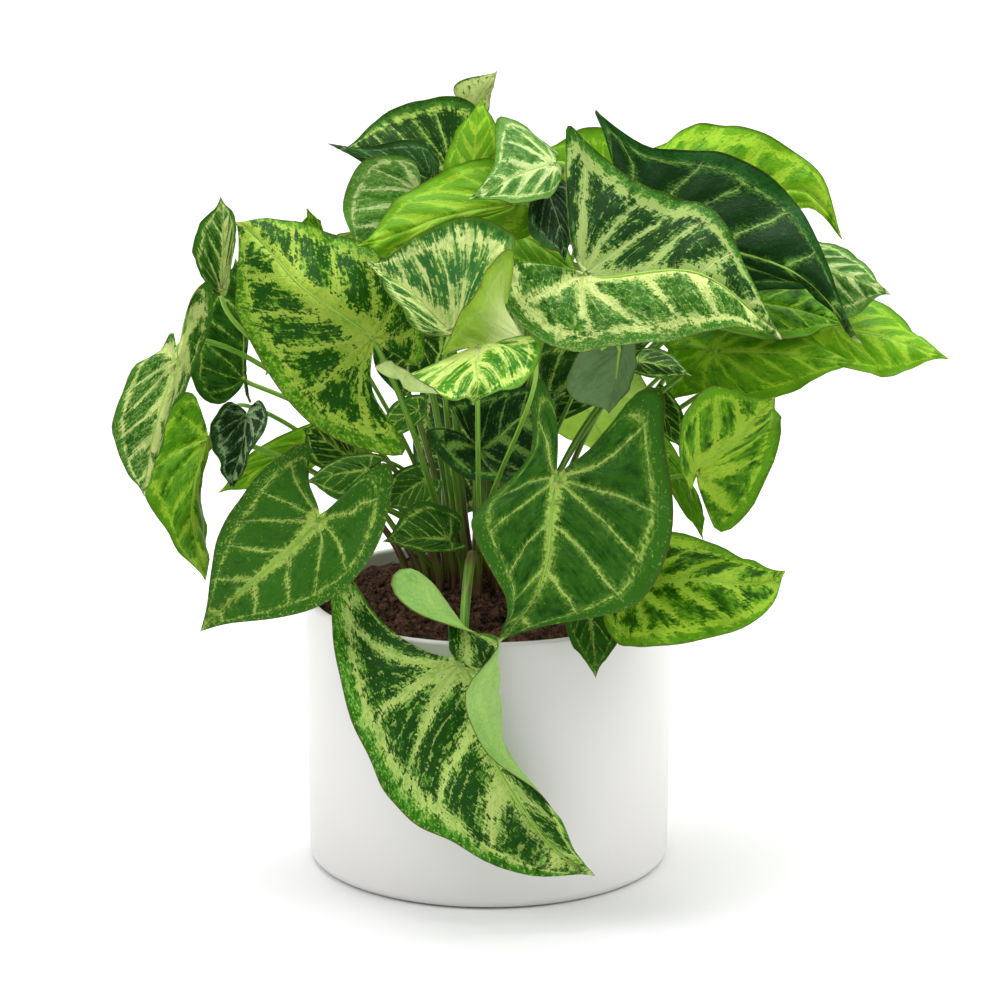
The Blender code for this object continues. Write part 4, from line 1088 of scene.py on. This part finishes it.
def coir_material(name, dark, light, scale):
    """Coir or husk: dark and light patches, grained finely."""
    made, nodes = new_material(name)
    place = nodes.object_place()
    patches = nodes.noise(place, scale, 3.0, 0.6)
    grain = nodes.noise(place, scale * 7, 3.0, 0.6)
    colour = nodes.mix((patches * 0.6 + grain * 0.4).step(0.36, 0.66), linear(dark), linear(light))
    surface(nodes, colour, 0.92, grain, 0.0006, specular_ior_level=0.2)
    return made


def place_piece(piece, slot, *nodes):
    """A finished piece rides on the plant's body and stands for its solids."""
    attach(piece, BODY)
    if nodes:
        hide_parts(*nodes)


def link(name, data):
    """An object of this data in the scene."""
    made = bpy.data.objects.new(name, data)
    bpy.context.scene.collection.objects.link(made)
    return made


def finished(form, name, material=None):
    """The smooth mesh of a form."""
    mesh = bpy.data.meshes.new(name)
    form.to_mesh(mesh)
    form.free()
    mesh.shade_smooth()
    if material:
        mesh.materials.append(material)
    return mesh


def geometry_tree(name, sockets):
    """A geometry node tree with named inputs, given as name, socket type and default."""
    tree = bpy.data.node_groups.new(name, "GeometryNodeTree")
    tree.interface.new_socket("Geometry", in_out="INPUT", socket_type="NodeSocketGeometry")
    for socket, kind, default in sockets:
        made = tree.interface.new_socket(socket, in_out="INPUT", socket_type="NodeSocket" + kind)
        if default is not None:
            made.default_value = default
    tree.interface.new_socket("Geometry", in_out="OUTPUT", socket_type="NodeSocketGeometry")
    nodes = Nodes(tree)
    return tree, nodes, nodes.add("NodeGroupInput").outputs


def close_tree(nodes, geometry, material):
    """Ends a tree: its instances are made real and given their material."""
    real = nodes.field("GeometryNodeRealizeInstances", {"Geometry": geometry})
    dressed = nodes.field("GeometryNodeSetMaterial", {"Geometry": real, "Material": material})
    nodes.add("NodeGroupOutput", {"Geometry": dressed})


def grown(carrier, tree, values):
    """The plain mesh that a tree makes on a carrier, which is then removed."""
    modifier = carrier.modifiers.new(tree.name, "NODES")
    modifier.node_group = tree
    for item in tree.interface.items_tree:
        if item.in_out == "INPUT" and item.name in values:
            modifier[item.identifier] = values[item.name]
    depsgraph = bpy.context.evaluated_depsgraph_get()
    mesh = bpy.data.meshes.new_from_object(carrier.evaluated_get(depsgraph), depsgraph=depsgraph)
    bpy.data.objects.remove(carrier)
    return mesh


def stored(nodes, geometry, name, value, kind):
    """The geometry with a value stored at each of its points."""
    inputs = {"Geometry": geometry, "Name": name, "Value": value}
    return nodes.field("GeometryNodeStoreNamedAttribute", inputs, data_type=kind, domain="POINT")


def stalk_tree():
    """Sweeps a ring along a curve at its own radius, and stores the way along and round it."""
    tree, nodes, given = geometry_tree("stalk_tube", [
        ("Sides", "Int", 10), ("Material", "Material", None)])
    way = nodes.field("GeometryNodeSplineParameter", output="Factor")
    circle = {"Resolution": given["Sides"], "Radius": 1.0}
    ring = nodes.field("GeometryNodeCurvePrimitiveCircle", circle)
    spot = nodes.field("GeometryNodeInputPosition")
    tube = nodes.field("GeometryNodeCurveToMesh", {
        "Curve": stored(nodes, given["Geometry"], "run", way, "FLOAT"),
        "Profile Curve": stored(nodes, ring, "ring", spot, "FLOAT_VECTOR"),
        "Scale": nodes.field("GeometryNodeInputRadius"), "Fill Caps": True})
    close_tree(nodes, tube, given["Material"])
    return tree


def swept_tube(name, points, radii, tree, values):
    """A tube along these points, made by the tree."""
    line = bpy.data.curves.new(name, "CURVE")
    line.dimensions = "3D"
    spline = line.splines.new("POLY")
    spline.points.add(len(points) - 1)
    for point, place, radius in zip(spline.points, points, radii):
        point.co = (*place, 1.0)
        point.radius = radius
    return grown(link(name, line), tree, values)


def vein_lanes(flat):
    """Which lane between lateral veins each flat place is in: whole numbers lie on a vein."""
    out = np.abs(flat[:, 1])
    ahead = flat[:, 0] - VEIN_BOW * out ** 2
    foot = ahead - VEIN_SLANT * out
    fan = (np.arctan2(1.0, VEIN_SLANT) - np.arctan2(out, ahead)) / LANE_ANGLE
    lanes = np.where(foot > 0, foot / LANE_LENGTH, fan)
    return np.where(np.hypot(flat[:, 0], out) < AT_JOINT, JOINT_LANE, lanes)


def net_normals(points, faces):
    """The unit normal at each point of a net of three and four-sided faces."""
    normals = np.zeros_like(points)
    for face in faces:
        a, b, c, d = (*face, face[-1])[:4]
        normal = np.cross(points[c] - points[a], points[d] - points[b])
        for corner in set(face):
            normals[corner] += normal
    return normals / np.maximum(np.linalg.norm(normals, axis=1), 1e-12)[:, None]


def relief(flat, shares, length, seed):
    """How far each place stands off a smooth sheet: quilted between veins, wavy at the margin."""
    leaves = bpy.context.scene.syngonium_leaves
    run, turn = shares.T
    ahead, across = flat.T
    quilt = np.sin(pi * vein_lanes(flat)) ** 2 * np.sin(pi * np.clip(run / LOOP_SHARE, 0, 1))
    groove = GROOVE_DEPTH * np.exp(-(across / GROOVE_WIDTH) ** 2) * np.clip(ahead * FADE_RATE, 0, 1)
    phase = seed * WAVE_SHIFT + np.sign(across)
    angle = 2 * pi * MARGIN_WAVES * turn
    waves = np.sin(angle + phase) + 0.5 * np.sin(2 * angle + RIPPLE_SHIFT * phase)
    ends = np.clip(turn * FADE_RATE, 0, 1) * np.clip((SINUS_TURN - turn) * FADE_RATE, 0, 1)
    return length * (leaves.quilting * (quilt - groove) + leaves.waviness * waves * ends * run ** 3)


def blade_mesh(name, leaf, seed):
    """The blade: an upper and a lower sheet joined by a rounded margin, with its two maps."""
    leaves = bpy.context.scene.syngonium_leaves
    along = int(np.clip(leaves.rows_per_metre * leaf["length"], *ROW_LIMITS))
    flat, shares, cells, rim = flat_blade(along, int(CROSS_SHARE * along))
    upper = [[corner for k, corner in enumerate(cell) if corner != cell[k - 1]][::side]
             for cell, side in cells]
    points = leaf["bend"](flat)
    lift = relief(flat, shares, leaf["length"], seed)
    points = points + net_normals(points, upper) * lift[:, None]
    normals = net_normals(points, upper)
    half = leaves.thickness / 2 * (1 - MARGIN_THINNING * shares[:, :1] ** 4)
    count = len(flat)
    outward = {}
    for first, second in rim:
        way = np.cross(points[second] - points[first], normals[first])
        for corner in (first, second):
            outward[corner] = outward.get(corner, 0) + way
    edge = list(outward)
    middle = {corner: 2 * count + k for k, corner in enumerate(edge)}
    bulge = [points[corner] + unit(outward[corner]) * half[corner] for corner in edge]
    corners = np.concatenate([points + normals * half, points - normals * half, bulge])
    lower = [[corner + count for corner in face[::-1]] for face in upper]
    band = [quad for a, b in rim for quad in ((a, middle[a], middle[b], b),
                                              (middle[a], a + count, b + count, middle[b]))]
    mesh = bpy.data.meshes.new(name)
    mesh.from_pydata(corners.tolist(), [], upper + lower + band)
    loops = np.zeros(len(mesh.loops), int)
    mesh.loops.foreach_get("vertex_index", loops)
    source = np.concatenate([np.arange(count), np.arange(count), edge]).astype(int)[loops]
    veins = np.stack([vein_lanes(flat), shares[:, 0]], axis=1)
    for label, places in (("Blade", flat), ("Veins", veins)):
        mesh.uv_layers.new(name=label).data.foreach_set("uv", places[source].ravel())
    flag = mesh.attributes.new("underside", "FLOAT", "FACE")
    flag.data.foreach_set("value", [0.0] * len(upper) + [1.0] * len(lower) + [0.5] * len(band))
    mesh.shade_smooth()
    return mesh


def stalk_route(name, leaf):
    """The stalk's points and radii: from the soil to the joint, then on as the raised midrib."""
    leaves = bpy.context.scene.syngonium_leaves
    rise = stalk_curve(leaf["foot"], leaf, leaf["bow"], RISE_POINTS)
    middle = np.stack([RIDGE_SHARES, 0 * RIDGE_SHARES], axis=1)
    ridge = leaf["bend"](middle)
    ahead, beside = (leaf["bend"](middle + step) - ridge for step in RIDGE_STEPS)
    down = np.cross(ahead, beside)
    down *= np.sign(-down @ leaf["facing"])[:, None] / np.linalg.norm(down, axis=1)[:, None]
    size = STALK_SIZES.get(name, 1.0)
    size *= min(1.0, LEAST_STALK_SIZE + leaf["length"] / FULL_STALK_LENGTH)
    radius = leaves.stalk_radius * size
    flares = 1 + FOOT_FLARE * (1 - np.linspace(0, 1, RISE_POINTS)) ** 3
    ribs = radius * (RIDGE_START - RIDGE_LOSS * RIDGE_SHARES ** RIDGE_TAPER)
    ridge = ridge + down * (ribs - leaves.thickness * RIDGE_SINK)[:, None]
    points = np.concatenate([[(*leaf["foot"], FOOT_DEPTH)], rise, ridge])
    return points, [radius * (1 + FOOT_FLARE), *radius * flares, *ribs]


def joined(parts, name):
    """One object of several meshes, each of which keeps its own materials and maps."""
    objects = [link(name if k == 0 else name + "_part", mesh) for k, mesh in enumerate(parts)]
    with bpy.context.temp_override(active_object=objects[0], selected_editable_objects=objects):
        bpy.ops.object.join()
    return objects[0]


@cache
def shared_parts():
    """What the operators share: the bent blades with their stalks, and the trees and materials."""
    return SimpleNamespace(leaves=all_leaves(), marking=marking_group(), tube=stalk_tree(),
                           stalk=stalk_material())


def add_blades(group):
    """Every blade of a group, each with its own stalk, in place of its solid."""
    shared = shared_parts()
    sides = bpy.context.scene.syngonium_leaves.stalk_sides
    for seed, (name, leaf) in enumerate(shared.leaves.items(), 1):
        if not name.startswith(group):
            continue
        blade = blade_mesh("blade_" + name, leaf, seed)
        blade.materials.append(blade_material(name, shared.marking, seed, leaf["length"]))
        stalk = swept_tube("stalk_" + name, *stalk_route(name, leaf), shared.tube,
                           {"Sides": sides, "Material": shared.stalk})
        stalk.shade_smooth()
        place_piece(joined([blade, stalk], "syngonium_" + name), "leaf", "leaf_" + name)


def pot_outer(height):
    """The radius of the pot's outside at this height."""
    return BASE_RADIUS + (RIM_RADIUS - BASE_RADIUS) * height / POT_HEIGHT


def arc(centre, radius, start, end, steps):
    """Points along an arc, from one angle to the other in degrees."""
    angles = [radians(start + (end - start) * k / steps) for k in range(steps + 1)]
    return [(centre[0] + radius * cos(angle), centre[1] + radius * sin(angle)) for angle in angles]


def add_pot():
    """The turned pot. Its profile runs from the floor up inside, over the rim and down outside."""
    pot = bpy.context.scene.syngonium_pot
    rim, low, floor = pot.rim_rounding, pot.base_rounding, pot.floor
    top = POT_HEIGHT - rim
    outer = pot_outer(POT_HEIGHT)
    corner = (pot_outer(0) - POT_WALL - INNER_CORNER, floor + INNER_CORNER)
    profile = [(0, floor), (0.5 * BASE_RADIUS, floor)]
    profile += arc(corner, INNER_CORNER, -90, 0, CORNER_STEPS)
    profile += arc((outer - POT_WALL + rim, top), rim, 180, 90, CORNER_STEPS)
    profile += arc((outer - rim, top), rim, 90, 0, CORNER_STEPS)
    heights = [low + (top - low) * (1 - k / WALL_ROWS) for k in range(1, WALL_ROWS)]
    profile += [(pot_outer(height), height) for height in heights]
    profile += arc((BASE_RADIUS - low, low), low, 0, -90, FOOT_STEPS)
    profile += [(0.5 * BASE_RADIUS, 0), (0, 0)]
    form = bmesh.new()
    line = [form.verts.new((x, 0, z)) for x, z in profile]
    edges = [form.edges.new(pair) for pair in zip(line, line[1:])]
    bmesh.ops.spin(form, geom=line + edges, axis=(0, 0, 1), cent=(0, 0, 0), steps=pot.sides,
                   angle=2 * pi, use_merge=True)
    bmesh.ops.remove_doubles(form, verts=form.verts, dist=MERGE_DISTANCE)
    bmesh.ops.recalc_face_normals(form, faces=form.faces)
    mesh = finished(form, "glazed_pot", glaze_material())
    place_piece(link("glazed_pot", mesh), "pot_glaze", "pot")


def soil_bed(reach, closed, material=None):
    """The coir's surface: rings over the mound, roughened by noise, made a solid if closed."""
    soil = bpy.context.scene.syngonium_soil
    form = bmesh.new()
    turns = [2 * pi * j / soil.sides for j in range(soil.sides)]
    rings = []
    for k in range(1, soil.rings + 1):
        radius = reach * k / soil.rings
        rings.append([])
        for x, y in ((radius * cos(turn), radius * sin(turn)) for turn in turns):
            rough = noise.fractal(Vector((x, y, 0.0)) * BED_GRAIN, *BED_FRACTAL) * soil.roughness
            sag = BED_SAG * (k / soil.rings) ** 8
            rings[-1].append(form.verts.new((x, y, soil_height(x, y) + rough - sag)))
    if closed:
        rings.append([form.verts.new((v.co.x, v.co.y, SOIL_BASE)) for v in rings[-1]])
        form.faces.new(rings[-1][::-1])
    top = form.verts.new((0, 0, soil_height(0, 0)))
    after = [(j + 1) % soil.sides for j in range(soil.sides)]
    for inner, outer in zip(rings, rings[1:]):
        for j, k in enumerate(after):
            form.faces.new((inner[j], outer[j], outer[k], inner[k]))
    for j, k in enumerate(after):
        form.faces.new((top, rings[0][j], rings[0][k]))
    return finished(form, "coir_bed", material)


def scatter_tree(name, shape):
    """Copies of a small shape strewn over a bed, turned and sized at random."""
    tree, nodes, given = geometry_tree(name, [
        ("Density", "Float", 60000.0), ("Least Size", "Float", 0.6), ("Most Size", "Float", 1.4),
        ("Tilt", "Float", 0.5), ("Seed", "Int", 1), ("Material", "Material", None)])
    seed = given["Seed"]
    spread = nodes.field("GeometryNodeDistributePointsOnFaces",
                         {"Mesh": given["Geometry"], "Density": given["Density"], "Seed": seed})
    turn = nodes.field("FunctionNodeRandomValue", {1: (FULL_TURN,) * 3, "Seed": seed},
                       data_type="FLOAT_VECTOR")
    x, y, z = nodes.parts(turn)
    tilt = nodes.math("SINE", x) * given["Tilt"]
    lean = nodes.math("COSINE", y) * given["Tilt"]
    angles = nodes.field("FunctionNodeEulerToRotation", {0: nodes.vector(tilt, lean, z)})
    sizes = {2: given["Least Size"], 3: given["Most Size"], "Seed": seed}
    size = nodes.field("FunctionNodeRandomValue", sizes, output=1, data_type="FLOAT")
    copies = nodes.field("GeometryNodeInstanceOnPoints",
                         {"Points": spread, "Instance": shape(nodes), "Rotation": angles,
                          "Scale": nodes.vector(size, size, size)})
    close_tree(nodes, copies, given["Material"])
    return tree


def chip_shape(nodes):
    """A flat crumb of husk about 3 mm long."""
    ball = nodes.field("GeometryNodeMeshIcoSphere", {"Radius": CHIP_RADIUS, "Subdivisions": 1})
    return nodes.field("GeometryNodeTransform", {"Geometry": ball, "Scale": CHIP_SCALE})


def fibre_shape(nodes):
    """A thin bowed fibre about 9 mm long."""
    bow = nodes.field("GeometryNodeCurveQuadraticBezier", FIBRE_BOW)
    ring = nodes.field("GeometryNodeCurvePrimitiveCircle", FIBRE_RING)
    swept = {"Curve": bow, "Profile Curve": ring, "Fill Caps": True}
    return nodes.field("GeometryNodeCurveToMesh", swept)


def add_soil():
    """The bed of coir with husk chips and loose fibres strewn over it."""
    soil = bpy.context.scene.syngonium_soil
    edge = pot_outer(SOIL_EDGE) - POT_WALL
    bed = soil_bed(edge - BED_GAP, True, coir_material("coir", "#120905", "#5a3d2d", 170.0))
    place_piece(link("coir_bed", bed), "coir", "soil")
    kinds = (
        ("husk_chips", chip_shape, soil.chip_density, (0.35, 2.0, 1.1),
         ("#150b06", "#7a5644", 200.0)),
        ("coir_fibres", fibre_shape, soil.fibre_density, (0.5, 1.5, 0.35),
         ("#3d2619", "#9a7453", 300.0)),
    )
    for seed, (name, shape, density, (least, most, tilt), looks) in enumerate(kinds, 3):
        carrier = link(name + "_bed", soil_bed(edge - BED_INSET, False))
        mesh = grown(carrier, scatter_tree(name, shape), {
            "Density": density, "Least Size": least, "Most Size": most, "Tilt": tilt, "Seed": seed,
            "Material": coir_material(name, *looks)})
        place_piece(link(name, mesh), "coir")


def add_lamp(name, energy, size, place, aim):
    """A soft rectangular lamp that faces a point."""
    lamp = bpy.data.lights.new(name, "AREA")
    lamp.shape = "RECTANGLE"
    lamp.size, lamp.size_y = size
    lamp.energy = energy
    made = link(name, lamp)
    made.location = place
    made.rotation_euler = (Vector(aim) - Vector(place)).to_track_quat("-Z", "Y").to_euler()


def add_camera():
    """The camera at the photograph's angle."""
    lens = bpy.data.cameras.new("camera")
    lens.sensor_width = SENSOR_WIDTH
    lens.lens = VIEW_FOCAL * SENSOR_WIDTH / PICTURE_WIDTH
    camera = link("camera", lens)
    slide = (PICTURE_WIDTH / 2 - VIEW_CENTRE[0]) * VIEW_DISTANCE / VIEW_FOCAL
    height = VIEW_HEIGHT + VIEW_DISTANCE * sin(VIEW_TILT)
    camera.location = (slide, -VIEW_DISTANCE * cos(VIEW_TILT), height)
    camera.rotation_euler = (pi / 2 - VIEW_TILT, 0.0, 0.0)
    bpy.context.scene.camera = camera


def add_studio():
    """A plain pale floor, soft lamps and the camera."""
    studio = bpy.context.scene.syngonium_studio
    form = bmesh.new()
    bmesh.ops.create_circle(form, cap_ends=True, segments=FLOOR_SIDES, radius=studio.floor_radius)
    made, nodes = new_material("studio_floor")
    tone = nodes.mix(nodes.noise(nodes.object_place(), 3.0), *map(linear, FLOOR_TONES))
    surface(nodes, tone, 0.9, specular_ior_level=0.1)
    floor = link("studio_floor", finished(form, "studio_floor", made))
    floor.location.z = -FLOOR_DROP
    world = bpy.data.worlds.new("studio")
    world.use_nodes = True
    world.node_tree.nodes["Background"].inputs["Color"].default_value = (1.0, 1.0, 1.0, 1.0)
    world.node_tree.nodes["Background"].inputs["Strength"].default_value = studio.surround
    bpy.context.scene.world = world
    bpy.context.scene.view_settings.view_transform = "Standard"
    for name, (size, place, aim) in LAMPS.items():
        add_lamp(name, getattr(studio, name), size, place, aim)
    add_camera()


class PotSettings(bpy.types.PropertyGroup):
    """Sizes of the glazed pot."""

    sides: IntProperty(name="Sides", description="Facets round the pot", default=160, min=24)
    floor: FloatProperty(name="Floor", description="Thickness of the pot's floor", default=0.005,
                         unit="LENGTH")
    rim_rounding: FloatProperty(name="Rim Rounding", description="Radius along the rim's edges",
                                default=0.0014, unit="LENGTH")
    base_rounding: FloatProperty(name="Base Rounding", description="Radius along the foot",
                                 default=0.004, unit="LENGTH")


class SoilSettings(bpy.types.PropertyGroup):
    """Sizes of the coir bed."""

    rings: IntProperty(name="Rings", description="Rings of points over the bed", default=80, min=8)
    sides: IntProperty(name="Sides", description="Points round each ring", default=180, min=16)
    roughness: FloatProperty(name="Roughness", description="Height of the bed's lumps",
                             default=0.0024, unit="LENGTH")
    chip_density: FloatProperty(name="Chip Density", description="Husk chips on a square metre",
                                default=150000.0)
    fibre_density: FloatProperty(name="Fibre Density", description="Fibres on a square metre",
                                 default=12000.0)


class LeafSettings(bpy.types.PropertyGroup):
    """Sizes that all the leaves share."""

    rows_per_metre: FloatProperty(name="Rows per Metre", description="Rows along a metre of blade",
                                  default=620.0)
    thickness: FloatProperty(name="Thickness", description="Thickness of a blade's middle",
                             default=0.0007, unit="LENGTH")
    quilting: FloatProperty(name="Quilting", default=0.020,
                            description="Swell between veins, as a share of length")
    waviness: FloatProperty(name="Waviness", description="Margin waves, as a share of length",
                            default=0.014)
    stalk_radius: FloatProperty(name="Stalk Radius", description="Radius of a stalk's upper part",
                                default=0.0012, unit="LENGTH")
    stalk_sides: IntProperty(name="Stalk Sides", description="Facets round a stalk", default=10)
    light_through: FloatProperty(name="Light Through", description="Share of light let through",
                                 default=0.25, min=0.0, max=1.0, subtype="FACTOR")


class StudioSettings(bpy.types.PropertyGroup):
    """The floor and the lamps."""

    floor_radius: FloatProperty(name="Floor Radius", description="Radius of the pale floor",
                                default=9.0, unit="LENGTH")
    surround: FloatProperty(name="Surround", description="Strength of the white surround",
                            default=0.5)
    key: FloatProperty(name="Key", description="Power of the key lamp", default=16.5, unit="POWER")
    fill: FloatProperty(name="Fill", description="Power of the fill lamp", default=19.0,
                        unit="POWER")
    top: FloatProperty(name="Top", description="Power of the top lamp", default=61.0, unit="POWER")
    backdrop: FloatProperty(name="Backdrop", description="Power of the lamp on the floor behind",
                            default=11.0, unit="POWER")


class SYNGONIUM_OT_pot(bpy.types.Operator):
    """Add the glazed cover pot"""

    bl_idname = "syngonium.pot"
    bl_label = "Glazed Pot"

    def execute(self, context):
        add_pot()
        return {"FINISHED"}


class SYNGONIUM_OT_soil(bpy.types.Operator):
    """Add the bed of coir with its chips and fibres"""

    bl_idname = "syngonium.soil"
    bl_label = "Coir"

    def execute(self, context):
        add_soil()
        return {"FINISHED"}


class SYNGONIUM_OT_leaves(bpy.types.Operator):
    """Add one group of leaves with their stalks"""

    bl_idname = "syngonium.leaves"
    bl_label = "Leaves"

    group: EnumProperty(
        name="Group", description="Which part of the plant",
        items=[(key, key.title(), "The leaves at the " + key) for key in LEAF_GROUPS])

    def execute(self, context):
        add_blades(self.group)
        return {"FINISHED"}


class SYNGONIUM_OT_studio(bpy.types.Operator):
    """Add the floor, the lamps and the camera"""

    bl_idname = "syngonium.studio"
    bl_label = "Studio"

    def execute(self, context):
        add_studio()
        return {"FINISHED"}


class SYNGONIUM_PT_panel(bpy.types.Panel):
    """The sidebar's list of pieces and sizes"""

    bl_label = "Potted Syngonium"
    bl_idname = "SYNGONIUM_PT_panel"
    bl_space_type = "VIEW_3D"
    bl_region_type = "UI"
    bl_category = "Syngonium"

    def draw(self, context):
        for label, settings in SETTINGS.items():
            box = self.layout.box()
            group = getattr(context.scene, "syngonium_" + label)
            for name in settings.__annotations__:
                box.prop(group, name)
        self.layout.operator("syngonium.pot")
        self.layout.operator("syngonium.soil")
        for key in LEAF_GROUPS:
            self.layout.operator("syngonium.leaves", text=key.title() + " Leaves").group = key
        self.layout.operator("syngonium.studio")


SETTINGS = {"pot": PotSettings, "soil": SoilSettings, "leaves": LeafSettings,
            "studio": StudioSettings}
CLASSES = (*SETTINGS.values(), SYNGONIUM_OT_pot, SYNGONIUM_OT_soil, SYNGONIUM_OT_leaves,
           SYNGONIUM_OT_studio, SYNGONIUM_PT_panel)


def register():
    """Adds the settings, operators and panel."""
    for made in CLASSES:
        bpy.utils.register_class(made)
    for label, settings in SETTINGS.items():
        setattr(bpy.types.Scene, "syngonium_" + label, bpy.props.PointerProperty(type=settings))


def unregister():
    """Takes them away again."""
    for label in SETTINGS:
        delattr(bpy.types.Scene, "syngonium_" + label)
    for made in reversed(CLASSES):
        bpy.utils.unregister_class(made)


def main():
    """Builds the whole scene."""
    register()
    bpy.ops.syngonium.studio()
    bpy.ops.syngonium.pot()
    bpy.ops.syngonium.soil()
    for key in LEAF_GROUPS:
        bpy.ops.syngonium.leaves(group=key)


if __name__ == "__main__":
    main()
